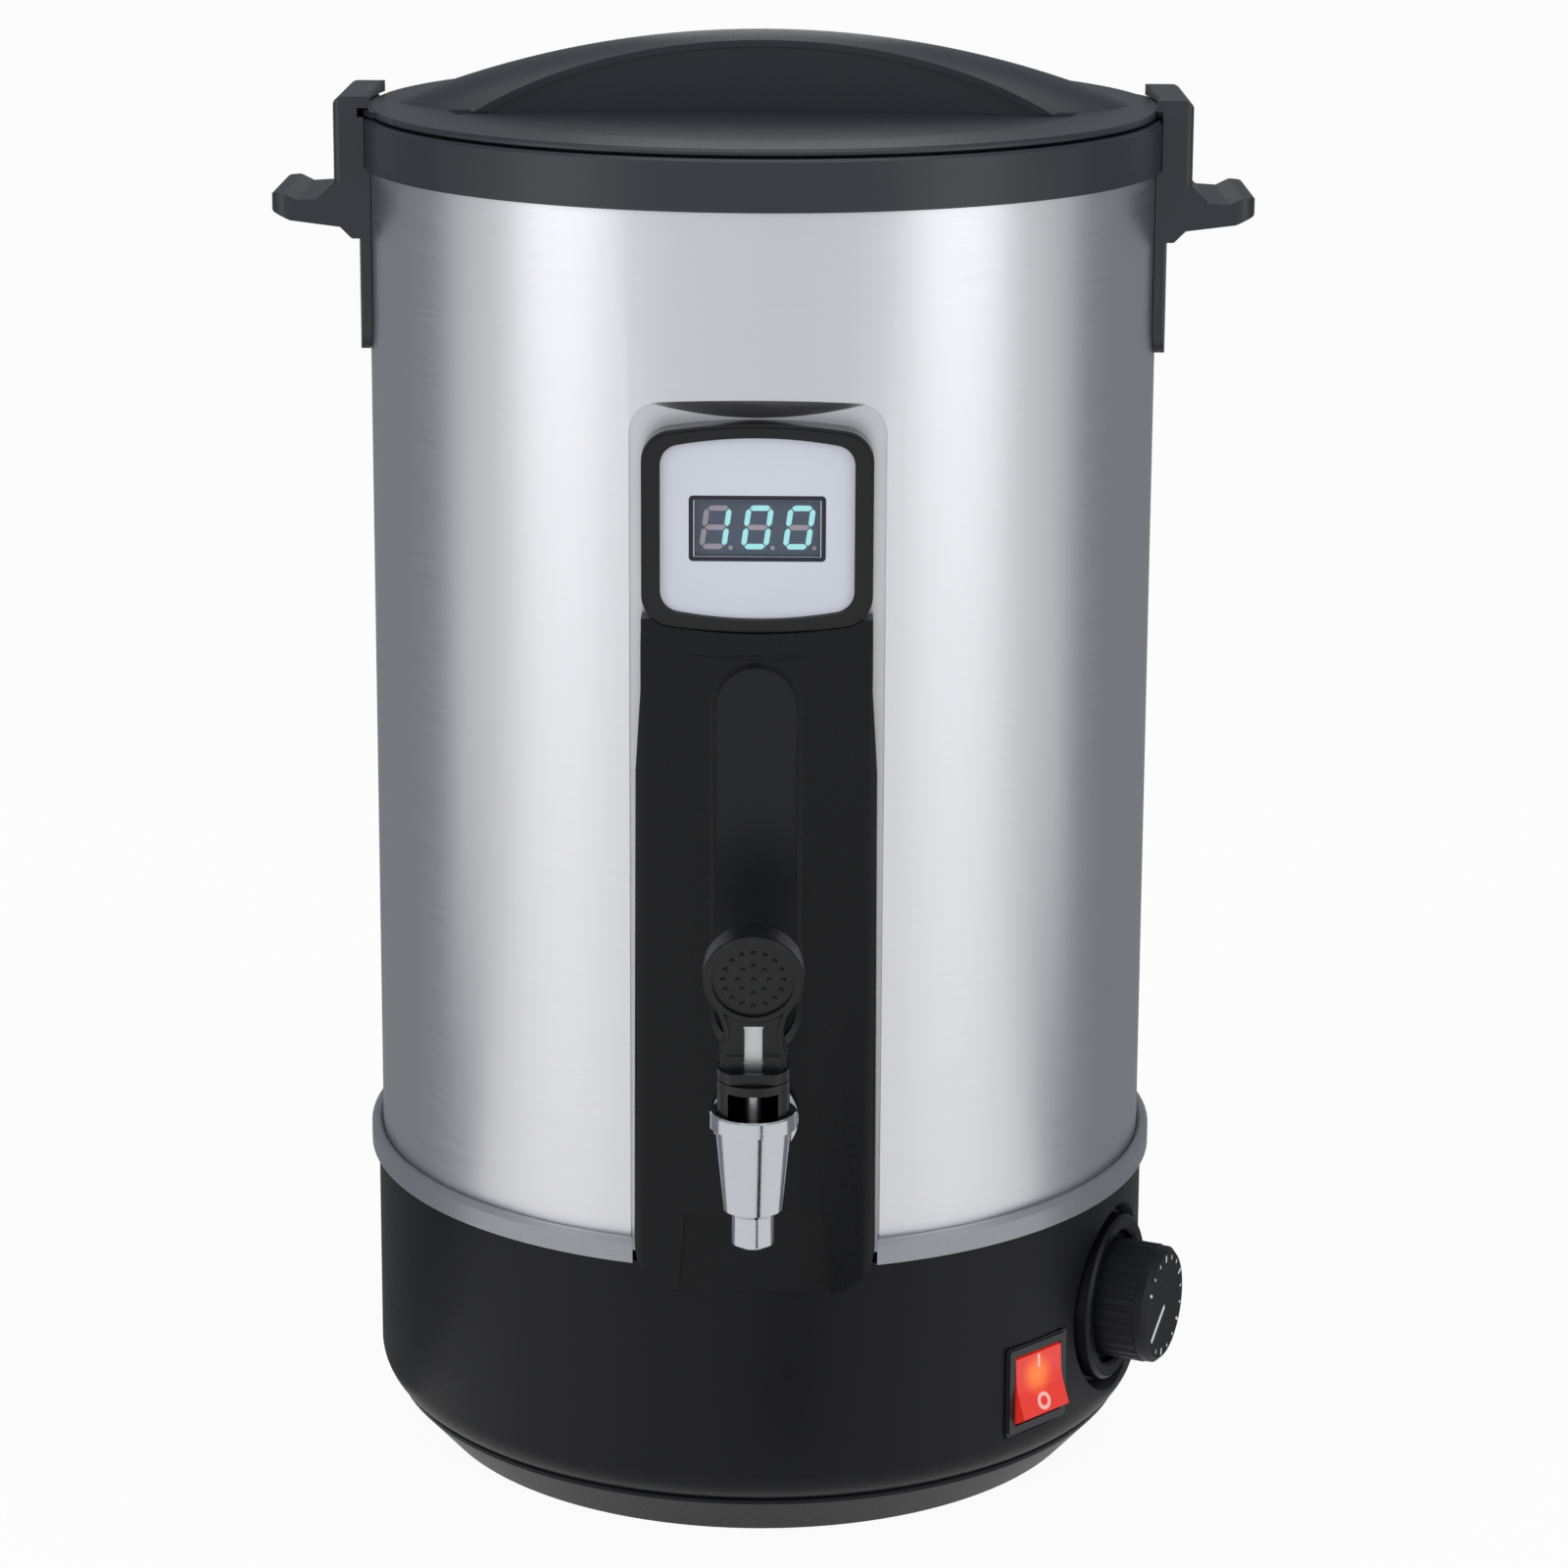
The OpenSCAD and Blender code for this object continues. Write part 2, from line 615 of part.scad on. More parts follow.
module handle() {
    out_x = shell_r + handle_out;
    grip_top = collar_top - grip_drop;
    grip_foot = grip_top - grip_t;
    hook_z = lid_top + rest_gap;
    hook_top = hook_z + hook_t;
    tail_foot = grip_foot - tail_len;
    hook_round = 3;
    difference() {
        union() {
            // upright against the collar, with the hook over the lid's edge, rounded at its outer edges
            intersection() {
                translate([0, 0, grip_foot]) linear_extrude(hook_top - grip_foot) difference() {
                    translate([out_x - 20, 0]) round_rect(40, 2 * handle_half, 2.5);
                    circle(r = lid_r + rest_gap, $fn = 200);
                }
                translate([0, handle_half + 1, 0]) rotate([90, 0, 0]) linear_extrude(2 * handle_half + 2) {
                    translate([shell_r - 12, 0]) square([handle_out + 12, hook_top - hook_round]);
                    translate([shell_r - 12, 0]) square([handle_out + 12 - hook_round, hook_top]);
                    translate([out_x - hook_round, hook_top - hook_round]) circle(r = hook_round);
                }
            }
            // grip with its hollow top, turned-up end and fillets, and round corners in plan
            intersection() {
                translate([shell_r + grip_out - 40, 0, tail_foot]) linear_extrude(collar_top - tail_foot)
                    round_rect(80, 2 * handle_half, 6);
                translate([0, handle_half + 1, 0]) rotate([90, 0, 0]) linear_extrude(2 * handle_half + 2)
                offset(r = 1.2, $fn = 32) offset(delta = -1.2) offset(delta = 3) offset(r = -3, $fn = 32)
                    polygon([[shell_r - 1, grip_foot - 5], [shell_r + tail_t + 0.5, grip_foot - 5],
                        [shell_r + tail_t + 4, grip_foot - 1.5], [shell_r + grip_out - 6, grip_foot + 0.4],
                        [shell_r + grip_out, grip_foot + 3], [shell_r + grip_out, grip_top + 0.6],
                        [shell_r + grip_out - 4, grip_top + 0.6], [shell_r + grip_out - 8, grip_top - 1.4],
                        [out_x + 5, grip_top - 1], [out_x, grip_top + 4], [shell_r - 1, grip_top + 4]]);
            }
            // tail down the shell
            intersection() {
                tube(shell_r + tail_t, shell_r - 1, tail_foot, grip_foot);
                facing(90) front_plate(shell_r - 20, shell_r + 10)
                    translate([0, (tail_foot + grip_foot + 20) / 2])
                        round_rect(2 * handle_half, grip_foot + 20 - tail_foot, 11);
            }
        }
        // room for the shell, the collar and the lid's edge
        translate([0, 0, tail_foot - 1]) cylinder(r = shell_r + seat_gap, h = hook_z - tail_foot + 1);
        translate([0, 0, collar_top - collar_h - 0.2]) cylinder(r = collar_r + seat_gap, h = hook_z - collar_top + collar_h + 0.2);
        // slot that the lid's tab turns into, shut at its far end
        translate([0, 0, lid_under - rest_gap]) linear_extrude(lid_plate + 2 * rest_gap) intersection() {
            circle(r = lid_r + tab_reach + rest_gap, $fn = 200);
            polygon([[0, 0], [150 * cos(8.5), -150 * sin(8.5)], [150, 60]]);
        }
        // bores for the screws from inside the shell
        for (y = [-1, 1]) facing(90)
            front_rod(1.5 + run_gap, shell_r - 5, shell_r + 6.5, x = y * handle_screw_y, z = handle_screw_z);
    }
}

module handle_left() {
    color(lid_plastic) rotate([0, 0, 180]) handle();
}

module handle_right() {
    color(lid_plastic) handle();
}

module handle_screws() {
    inner = sqrt(pow(shell_in, 2) - pow(handle_screw_y + 3, 2));
    color(bright) for (side = [90, 270], y = [-1, 1]) facing(side)
        translate([y * handle_screw_y, -inner, handle_screw_z]) rotate([90, 0, 0]) pan_screw(8);
}

// ---------- tap panel, gauge and display ----------

gauge_foot = tap_z + 17;
gauge_taper = 1.8;                       // depth of the slot's bevel
glass_w = slot_w - 4.2;
glass_t = 1.4;
pocket_w = glass_w - 4;
tube_d = flat_y + 8.2;                   // distance of the gauge tube from the urn's axis
tube_r = 3.5;
tube_bore = 2.5;
tube_top = slot_top - 12;
pocket_foot = gauge_foot + (slot_w - pocket_w) / 2;
ferrule_toe = 4.5;
// foot of the ferrule, where its toe just clears the round end of the pocket
ferrule_foot = pocket_foot + pocket_w / 2 - sqrt(pow(pocket_w / 2 - rest_gap, 2) - pow(ferrule_toe, 2));
ferrule_seat = ferrule_foot + 5;         // floor of the ferrule's cup, on which the tube stands

module panel_outline() {
    flare_z = bezel_foot - 16;
    difference() {
        offset(r = 15, $fn = 64) offset(delta = -15) polygon([[-panel_w / 2, panel_foot], [panel_w / 2, panel_foot],
            [panel_w / 2 - 0.8, flare_z - 24], [panel_top_w / 2, flare_z], [panel_top_w / 2, display_z],
            [-panel_top_w / 2, display_z], [-panel_top_w / 2, flare_z], [-panel_w / 2 + 0.8, flare_z - 24]]);
        translate([0, display_z]) bowed_rect(bezel_w + 0.2, bezel_h + 0.2, 9, 3.2);
        translate([-50, bezel_foot + 4]) square([100, 100]);
    }
}

module panel_section() {
    intersection() {
        offset(r = 4, $fn = 40) offset(delta = -4) intersection() {
            translate([-panel_w / 2, -face_y]) square([panel_w, 40]);
            translate([0, 240 - face_y]) circle(r = 240, $fn = 240);
        }
        translate([-50, -face_y - 1]) square([100, face_y - flat_y + 1]);
    }
}

module tap_panel() {
    color(black_plastic) difference() {
        intersection() {
            translate([0, 0, panel_foot]) linear_extrude(bezel_foot + 5 - panel_foot) panel_section();
            front_plate(flat_y, face_y + 1) panel_outline();
            rotate([90, 0, 90]) translate([0, 0, -50]) linear_extrude(100)
                polygon([[-flat_y + 1, panel_foot], [3.5 - face_y, panel_foot], [1 - face_y, panel_foot + 1.5],
                    [-face_y, panel_foot + 5], [-face_y, bezel_foot - 7], [0.8 - face_y, bezel_foot - 5],
                    [-bezel_y, bezel_foot + 1], [-bezel_y, bezel_foot + 5], [-flat_y + 1, bezel_foot + 5]]);
        }
        // room for the base
        translate([0, 0, panel_foot - 1]) cylinder(r = base_r + seat_gap, h = panel_drop + 1);
        // gauge slot: bevel, seat of the window, pocket of the tube
        for (z = [gauge_foot + slot_w / 2, slot_top - slot_w / 2])
            front_cone(glass_w / 2, slot_w / 2 + 0.1, face_y - gauge_taper, face_y + 0.1, z = z);
        translate([0, 0, gauge_foot + slot_w / 2]) linear_extrude(slot_top - gauge_foot - slot_w)
            polygon([[-slot_w / 2 - 0.1, -face_y - 0.1], [slot_w / 2 + 0.1, -face_y - 0.1],
                [glass_w / 2, gauge_taper - face_y], [-glass_w / 2, gauge_taper - face_y]]);
        front_plate(face_y - gauge_taper - glass_t, face_y - gauge_taper + eps)
            slot_outline(glass_w, gauge_foot + 2.1, slot_top - 2.1);
        front_plate(flat_y + 0.8, face_y - gauge_taper) slot_outline(pocket_w, pocket_foot, slot_top - 4.1);
        // niche around the spout
        front_plate(face_y - 5, face_y + 2) intersection() {
            polygon([[-22.4, panel_foot - 1], [22.4, panel_foot - 1], [20.2, pot_floor + 1], [-20.2, pot_floor + 1]]);
            translate([0, pot_floor - 64]) circle(r = 64, $fn = 200);
        }
        front_rod(shank_r + 0.6, flat_y - 1, face_y + 1, z = tap_z);
        for (p = panel_screw_at) front_rod(1.5 + run_gap, flat_y - 1, flat_y + 7, x = p[0], z = p[1]);
    }
}

module panel_screws() {
    color(bright) {
        for (p = panel_screw_at) translate([p[0], -flat_in, p[1]]) rotate([90, 0, 0]) pan_screw(7);
        for (p = bezel_screw_at) translate([p[0], -flat_in, display_z + p[1]]) rotate([90, 0, 0]) pan_screw(6);
    }
}

module gauge_window() {
    color([0.09, 0.09, 0.11]) difference() {
        front_plate(face_y - gauge_taper - glass_t, face_y - gauge_taper)
            slot_outline(glass_w - 0.2, gauge_foot + 2.2, slot_top - 2.2);
        translate([-20, -face_y - 1, gauge_foot]) cube([40, 10, 23]);
    }
}

module gauge_ferrule() {
    color(bright) translate([0, -tube_d, ferrule_foot]) rotate_extrude()
        polygon([[0, 0], [ferrule_toe, 0], [7.2, 3], [7.2, 13], [6.4, 13.8], [6.4, 16.5], [tube_r + run_gap, 16.5],
            [tube_r + run_gap, 5], [0, 5]]);
}

module gauge_tube() {
    color([0.85, 0.9, 0.92, 0.5]) translate([0, -tube_d, 0]) tube(tube_r, tube_bore, ferrule_seat + 0.1, tube_top);
}

module gauge_plug() {
    color(silicone) translate([0, -tube_d, tube_top]) rotate_extrude()
        polygon([[0, -7], [tube_bore - 0.4, -7], [tube_bore - run_gap, -6], [tube_bore - run_gap, 0],
            [tube_r - 0.3, 0], [tube_r - 0.3, 2.5], [tube_r - 0.8, 3], [0, 3]]);
}

label_seat = bezel_y - 2;      // distance of the face plate's back from the axis
label_t = 0.6;
lens_t = 0.8;
board_y = flat_in - 0.6;       // front of the circuit board
module_y = label_seat - 1.4;   // front of the number module

module display_bezel() {
    color(black_plastic) difference() {
        union() {
            front_plate(flat_y, bezel_y - 0.8) translate([0, display_z]) bowed_rect(bezel_w, bezel_h, 9, 3.2);
            front_plate(bezel_y - 1, bezel_y) translate([0, display_z]) bowed_rect(bezel_w - 2, bezel_h - 2, 8, 3.2);
            for (x = [-20.5, 20.5], z = [-18.5, 18.5]) front_rod(2, board_y, flat_y + 1, x = x, z = display_z + z);
        }
        front_plate(label_seat, bezel_y + 1) translate([0, display_z]) bowed_rect(label_w + 0.3, label_h + 0.3, 6, 3);
        front_plate(flat_y - 1, bezel_y) translate([0, display_z]) square([window_w, window_h], center = true);
        front_plate(label_seat - lens_t, bezel_y) translate([0, display_z])
            square([window_w + 2.2, window_h + 2.2], center = true);
        for (p = bezel_screw_at) front_rod(1.5 + run_gap, flat_y - 1, flat_y + 5.5, x = p[0], z = display_z + p[1]);
    }
}

module display_face_plate() {
    color([0.77, 0.79, 0.85]) difference() {
        front_plate(label_seat, label_seat + label_t) translate([0, display_z]) bowed_rect(label_w, label_h, 6, 3);
        front_plate(label_seat - 1, label_seat + 2) translate([0, display_z]) square([window_w, window_h], center = true);
    }
}

module display_lens() {
    color([0.3, 0.35, 0.4, 0.35]) front_plate(label_seat - lens_t, label_seat)
        translate([0, display_z]) square([window_w + 2, window_h + 2], center = true);
}

module display_module() {
    color([0.1, 0.1, 0.12]) front_plate(board_y, module_y)
        translate([0, display_z]) square([window_w - 0.4, window_h - 0.4], center = true);
}

module display_board() {
    color([0.1, 0.35, 0.2]) front_plate(board_y - 1.6, board_y) translate([0, display_z]) square([46, 42], center = true);
}

// Segments of one number: [middle x, middle y, upright] in units of width and half height
segment_at = [[0, 1, false], [0.5, 0.5, true], [0.5, -0.5, true], [0, -1, false], [-0.5, -0.5, true],
    [-0.5, 0.5, true], [0, 0, false]];
segment_t = digit_h * 0.12;
digit_w = digit_h * 0.5;
digit_pitch = digit_h * 0.94;
lit_segments = [[1, 2], [0, 1, 2, 3, 4, 5], [0, 1, 2, 3, 4, 5]];

function lean(p) = [p[0] + digit_lean * p[1], p[1]];
function bar_points(length) = let (l = length / 2, t = segment_t / 2)
    [[-l, 0], [t - l, t], [l - t, t], [l, 0], [l - t, -t], [t - l, -t]];

module segment(digit, index) {
    s = segment_at[index];
    half = (digit_h - segment_t) / 2;
    length = (s[2] ? half : digit_w) - 0.5;
    middle = [(digit - 1) * digit_pitch + s[0] * digit_w, s[1] * half];
    polygon([for (p = bar_points(length)) lean(middle + (s[2] ? [p[1], p[0]] : p))]);
}

function is_lit(digit, index) = len([for (i = lit_segments[digit]) if (i == index) i]) > 0;

module digits_lit() {
    color([0.66, 0.94, 0.96]) front_plate(module_y, module_y + 0.3) translate([0, display_z])
        for (d = [0 : 2], i = [0 : 6]) if (is_lit(d, i)) segment(d, i);
}

module digits_dark() {
    color([0.45, 0.42, 0.45]) front_plate(module_y, module_y + 0.3) translate([0, display_z]) {
        for (d = [0 : 2], i = [0 : 6]) if (!is_lit(d, i)) segment(d, i);
        for (d = [0 : 2]) translate([(d - 1) * digit_pitch + digit_w * 0.68, -digit_h / 2 + 0.4])
            circle(r = 0.6, $fn = 24);
    }
}

// ---------- tap ----------

cup_top = tap_z + 14.5;
cup_shoulder = cup_top - rim_h;
seat_z = tap_z - 13.7;             // foot of the valve seat
seat_rise = 3.7;
chamber_r = 7.6;
chamber_z = seat_z + seat_rise;
spout_top = tap_z - 16;
bonnet_r = cup_r - 2.15;
bonnet_top = cup_shoulder + 14;
web_t = 2;
lever_z = bonnet_top + 4;          // height of the lever's pin
lever_heel = 8;                    // half depth of the lever's heel
stem_flange_z = seat_z + 6.7;
pin_r = 1.2;
flange_y = face_y + 2;             // back of the tap's flange

module at_tap() {
    translate([0, -tap_y, 0]) children();
}

module tap_body() {
    color(bright) difference() {
        union() {
            at_tap() rotate_extrude() polygon([[0, spout_top - spout_len], [spout_r - 0.5, spout_top - spout_len],
                [spout_r, spout_top - spout_len + 0.5], [spout_r, spout_top], [cup_r - 3.85, spout_top + 1.6],
                [cup_r - 1.45, cup_shoulder - 0.4], [cup_r, cup_shoulder], [cup_r, cup_top - 0.5],
                [cup_r - 0.5, cup_top], [0, cup_top]]);
            front_rod(7, flange_y + 1, tap_y - 5, z = tap_z);
            front_cone(12.5, 11.5, flange_y + 2, flange_y + 3, z = tap_z);
            front_rod(12.5, flange_y, flange_y + 2, z = tap_z);
            front_rod(shank_r, pot_in - 9, flange_y + 1, z = tap_z);
        }
        at_tap() rotate_extrude() polygon([[0, spout_top - spout_len - 1], [spout_bore, spout_top - spout_len - 1],
            [spout_bore, seat_z], [chamber_r, chamber_z], [chamber_r, cup_shoulder],
            [bonnet_r + 0.1, cup_shoulder], [bonnet_r + 0.1, cup_top - 1], [bonnet_r + 0.9, cup_top + eps],
            [0, cup_top + eps]]);
        front_rod(4.5, pot_in - 10, tap_y, z = tap_z);
    }
}

module tap_front_gasket() {
    color([0.15, 0.15, 0.16]) translate([0, -face_y, tap_z]) rotate([90, 0, 0]) tube(11.5, shank_r + run_gap, 0, 2);
}

module tap_spacer() {
    color(steel) difference() {
        translate([0, -pot_r, tap_z]) rotate([90, 0, 0]) tube(10.5, shank_r + run_gap, -3, flat_in - pot_r);
        translate([0, 0, tap_z - 12]) cylinder(r = pot_r + 0.9, h = 24);
    }
}

module tap_rear_gasket() {
    color(silicone) difference() {
        translate([0, -pot_r, tap_z]) rotate([90, 0, 0]) tube(11, shank_r + run_gap, -3, 2);
        difference() {
            translate([0, 0, tap_z - 12]) cylinder(r = pot_r + 9, h = 24);
            translate([0, 0, tap_z - 13]) cylinder(r = pot_r + 0.9, h = 26);
        }
        translate([0, 0, tap_z - 12]) cylinder(r = pot_r, h = 24);
    }
}

module tap_nut() {
    color(bright) translate([0, -pot_in, tap_z]) rotate([90, 0, 0]) difference() {
        union() {
            translate([0, 0, -2.2]) cylinder(r = 11.5, h = 1.2);
            translate([0, 0, -8]) cylinder(r = 12, h = 6, $fn = 6);
        }
        translate([0, 0, -9]) cylinder(r = shank_r + run_gap, h = 10);
    }
}

module tap_bonnet() {
    color(black_plastic) at_tap() difference() {
        tube(bonnet_r, stem_r + run_gap, cup_shoulder, bonnet_top);
        translate([0, 0, cup_shoulder + web_t]) cylinder(r = bonnet_r - 1.8, h = bonnet_top - cup_shoulder - 2 * web_t - 0.5);
        translate([-7, -bonnet_r - 1, cup_shoulder + web_t])
            cube([14, bonnet_r, bonnet_top - cup_shoulder - 2 * web_t - 0.5]);
    }
}

module valve_stem() {
    color(bright) at_tap() difference() {
        union() {
            translate([0, 0, seat_z + 2.7]) cylinder(r = stem_r, h = bonnet_top + 0.5 - seat_z - 2.7);
            translate([0, 0, stem_flange_z]) cylinder(r = 5.8, h = 1.4);
            translate([-2.5, -1.7, bonnet_top + 0.4]) cube([5, 3.4, 15.6]);
        }
        translate([-5, 0, lever_z]) rotate([0, 90, 0]) cylinder(r = pin_r + 0.02, h = 10);
    }
}

module stem_seal() {
    slope = (chamber_r - spout_bore) / seat_rise;
    color(silicone) at_tap() rotate_extrude() polygon([[0, seat_z], [spout_bore - 0.4, seat_z],
        [spout_bore - 0.4 + slope * 2.4, seat_z + 2.4], [spout_bore - 0.4 + slope * 2.4, stem_flange_z],
        [stem_r + 0.02, stem_flange_z], [stem_r + 0.02, seat_z + 2.7], [0, seat_z + 2.7]]);
}

// A helical tube: rings of six points along the coil, closed at both ends
module coil(r, wire, z0, z1, turns) {
    rings = turns * 8;
    sides = 6;
    climb = (z1 - z0 - 2 * wire) / rings;
    middle = [for (i = [0 : rings]) [r * cos(i * 45), r * sin(i * 45), i * climb]];
    echo(coil_gap = min([for (i = [0 : rings - 5], k = [i + 5 : min(i + 11, rings)])
        norm(middle[k] - middle[i])]) - 2 * wire);
    points = [for (i = [0 : rings], j = [0 : sides - 1])
        let (a = i * 45, b = j * 60, d = r + wire * cos(b))
        [d * cos(a), d * sin(a), z0 + wire + i * climb + wire * sin(b)]];
    polyhedron(points = points, faces = tube_faces(rings, sides), convexity = 10);
}

module stem_spring() {
    color(bright) at_tap() coil(4.4, 0.5, stem_flange_z + 1.45, cup_shoulder - 0.05, spring_turns);
}

pin_len = 15;

module lever_pin() {
    color(bright) at_tap() translate([-pin_len / 2, 0, lever_z]) rotate([0, 90, 0]) cylinder(r = pin_r, h = pin_len);
}

pad_up = 28.5;      // from the pin to the middle of the pad, along the lever
waist_up = 10.6;    // from the pin to the waist of the neck
waist_half = 8.2;
neck_half = 9.4;
waist_rise = pad_up - waist_up;
// radius of the waist's two arcs, which touch the pad's circle
waist_r = (pow(waist_half, 2) + pow(waist_rise, 2) - pow(pad_r, 2)) / (2 * (pad_r - waist_half));

// Outline of the lever's plate, round pad and waisted neck, drawn in by a margin
module lever_outline(margin) {
    touch = [0, pad_up] + pad_r * unit([waist_half + waist_r, -waist_rise]);
    foot = margin - 1.5;
    translate([0, pad_up]) circle(r = pad_r - margin);
    difference() {
        polygon([[margin - neck_half, foot], [neck_half - margin, foot], [neck_half - margin, waist_up + 1.4], touch,
            [-touch[0], touch[1]], [margin - neck_half, waist_up + 1.4]]);
        for (side = [-1, 1]) translate([side * (waist_half + waist_r), waist_up]) circle(r = waist_r + margin);
    }
}

module tap_lever() {
    front = 3;          // front of the plate before the pin's axis
    color(black_plastic) at_tap() difference() {
        union() {
            // heel that rocks on the bonnet
            translate([0, 0, bonnet_top + rest_gap]) linear_extrude(3) intersection() {
                circle(r = bonnet_r);
                square([2 * bonnet_r, 2 * lever_heel], center = true);
            }
            // neck and thumb pad, leaning forward
            translate([0, 0, lever_z]) rotate([lever_lean, 0, 0]) {
                rotate([90, 0, 0]) {
                    translate([0, 0, -3.4]) linear_extrude(front + 3.4) lever_outline(0);
                    // raised edge of the neck
                    translate([0, 0, front - 0.1]) linear_extrude(0.9) difference() {
                        lever_outline(0.2);
                        lever_outline(1.5);
                        translate([0, pad_up]) circle(r = pad_r - 1);
                    }
                    // raised rim of the pad
                    translate([0, pad_up, front - 0.1]) difference() {
                        cylinder(r1 = pad_r - 0.1, r2 = pad_r - 0.9, h = 1.1);
                        translate([0, 0, -1]) cylinder(r = pad_r - 2.5, h = 3);
                    }
                }
                // raised dots on the pad
                for (ring = [[0, 1], [4.3, 8], [8.3, 16]], i = [0 : ring[1] - 1])
                    translate([0, 0.1 - front, pad_up]) rotate([0, i * 360 / ring[1], 0]) translate([0, 0, ring[0]])
                        rotate([90, 0, 0]) cylinder(r1 = 0.8, r2 = 0.45, h = 0.7, $fn = 16);
            }
            translate([-8.5, -4, bonnet_top + rest_gap + 1]) cube([17, 8, 6]);
        }
        // slot for the stem's flat, open to the front and the back
        translate([-2.7, -20, lever_z - 0.4]) cube([5.4, 40, 13]);
        translate([-2.7, -6.4, bonnet_top]) cube([5.4, 11.4, 8]);
        translate([-20, 0, lever_z]) rotate([0, 90, 0]) cylinder(r = pin_r + run_gap, h = 40);
    }
}

// ---------- dial, switch and inlet ----------

dial_front = base_r + 1.1;        // front of the ring around the dial
knob_back = dial_seat + 2.4;      // back of the knob
shaft_r = 3;

module dial_ring() {
    color(black_plastic) facing(knob_dir) difference() {
        union() {
            front_rod(dial_r, dial_seat, dial_front - 1, z = knob_z);
            front_cone(dial_r, dial_r - 1, dial_front - 1, dial_front, z = knob_z);
        }
        front_rod(dial_r - 5, dial_seat + 1.8, dial_front + 1, z = knob_z);
        front_cone(dial_r - 5, dial_r - 4, dial_front - 1, dial_front + eps, z = knob_z);
        front_rod(5 + run_gap, dial_seat - 1, dial_seat + 3, z = knob_z);
    }
}

module dial_knob() {
    ribs = 30;
    face = knob_back + knob_len;
    color(black_plastic) facing(knob_dir) difference() {
        union() {
            front_plate(knob_back, face - 4) translate([0, knob_z]) difference() {
                circle(r = knob_r);
                for (i = [0 : ribs - 1]) rotate([0, 0, i * 360 / ribs]) translate([knob_r + 0.65, 0])
                    circle(r = 1.15, $fn = 16);
            }
            front_rod(knob_r - 0.3, face - 4, face - 1.5, z = knob_z);
            front_cone(knob_r - 0.3, knob_r - 1.8, face - 1.5, face, z = knob_z);
        }
        // hollow back around the hub
        difference() {
            front_rod(knob_r - 2.4, knob_back - 1, face - 3, z = knob_z);
            front_rod(6, knob_back + 1, face - 2, z = knob_z);
        }
        front_rod(shaft_r + 0.02, knob_back - 1, face - 4.98, z = knob_z);
        // shallow groove of the pointer
        front_plate(face - 0.4, face + 1) translate([0, knob_z]) rotate([0, 0, 214])
            translate([0, -0.6]) square([knob_r - 3.5, 1.2]);
    }
}

module dial_shaft() {
    color(brass) facing(knob_dir) front_rod(shaft_r, dial_seat - boss_t - 14, knob_back + knob_len - 5, z = knob_z);
}

module thermostat() {
    back = dial_seat - boss_t;
    color([0.75, 0.75, 0.72]) facing(knob_dir) difference() {
        union() {
            front_plate(back - 30, back - 2) translate([0, knob_z]) round_rect(34, 28, 3);
            front_plate(back - 2, back) translate([0, knob_z]) round_rect(40, 30, 3);
            front_rod(5, back, dial_seat + 1.8, z = knob_z);
        }
        front_rod(shaft_r + run_gap, back - 15, dial_seat + 3, z = knob_z);
    }
}

// The sensing bulb under the heating plate and the fine tube back to the thermostat
bulb_z = plate_under - 4.5;
bulb_end = [20, 22, bulb_z];
bulb_len = 46;
fine_r = 0.9;
thermostat_port = dial_seat - boss_t - 22;
fine_route = [bulb_end, [30, 22, bulb_z], [40, 18, bulb_z - 3], [48, 10, plate_under - 12],
    [60, -4, plate_under - 14], [70, -16, plate_under - 18], [75, -26, base_top - 6],
    [thermostat_port * sin(knob_dir), -thermostat_port * cos(knob_dir), knob_z + 20],
    [thermostat_port * sin(knob_dir), -thermostat_port * cos(knob_dir), knob_z + 14]];

module thermostat_bulb() {
    color([0.80, 0.50, 0.35]) {
        translate([bulb_end[0] - bulb_len, bulb_end[1], bulb_z]) rotate([0, 90, 0]) cylinder(r = 3, h = bulb_len);
        fine_tube(fine_route, fine_r, 8);
    }
}

// A fine tube through a list of points, closed at both ends
module fine_tube(route, r, sides) {
    last = len(route) - 1;
    points = [for (i = [0 : last])
        let (along = unit(unit(route[min(i + 1, last)] - route[min(i, last - 1)])
                + unit(route[max(i, 1)] - route[max(i - 1, 0)])),
            across = unit(cross(along, [0, 1, 0.2])), up = cross(across, along))
        for (j = [0 : sides - 1]) route[i] + r * (cos(j * 360 / sides) * across + sin(j * 360 / sides) * up)];
    polyhedron(points = points, convexity = 6, faces = tube_faces(last, sides));
}

// Triangles of a closed tube made of rings of points
function tube_faces(last, sides) = concat([[for (j = [sides - 1 : -1 : 0]) j]],
    [for (i = [0 : last - 1], j = [0 : sides - 1]) let (k = (j + 1) % sides)
        [i * sides + j, i * sides + k, (i + 1) * sides + j]],
    [for (i = [0 : last - 1], j = [0 : sides - 1]) let (k = (j + 1) % sides)
        [i * sides + k, (i + 1) * sides + k, (i + 1) * sides + j]],
    [[for (j = [0 : sides - 1]) last * sides + j]]);

module bulb_clips() {
    color(steel) for (x = [-20, 8]) difference() {
        translate([x, 22 - 6, bulb_z - 4]) cube([6, 12, plate_under - bulb_z + 4]);
        translate([x - 1, 22, bulb_z]) rotate([0, 90, 0]) cylinder(r = 3 + run_gap, h = 8);
    }
}

rocker_half = 10.9;                          // reach of the rocker from its pivot
rocker_w = switch_w - 6.2;
pivot_d = switch_seat - 2;                   // distance of the rocker's pivot from the axis
frame_front = switch_seat + 1.8;

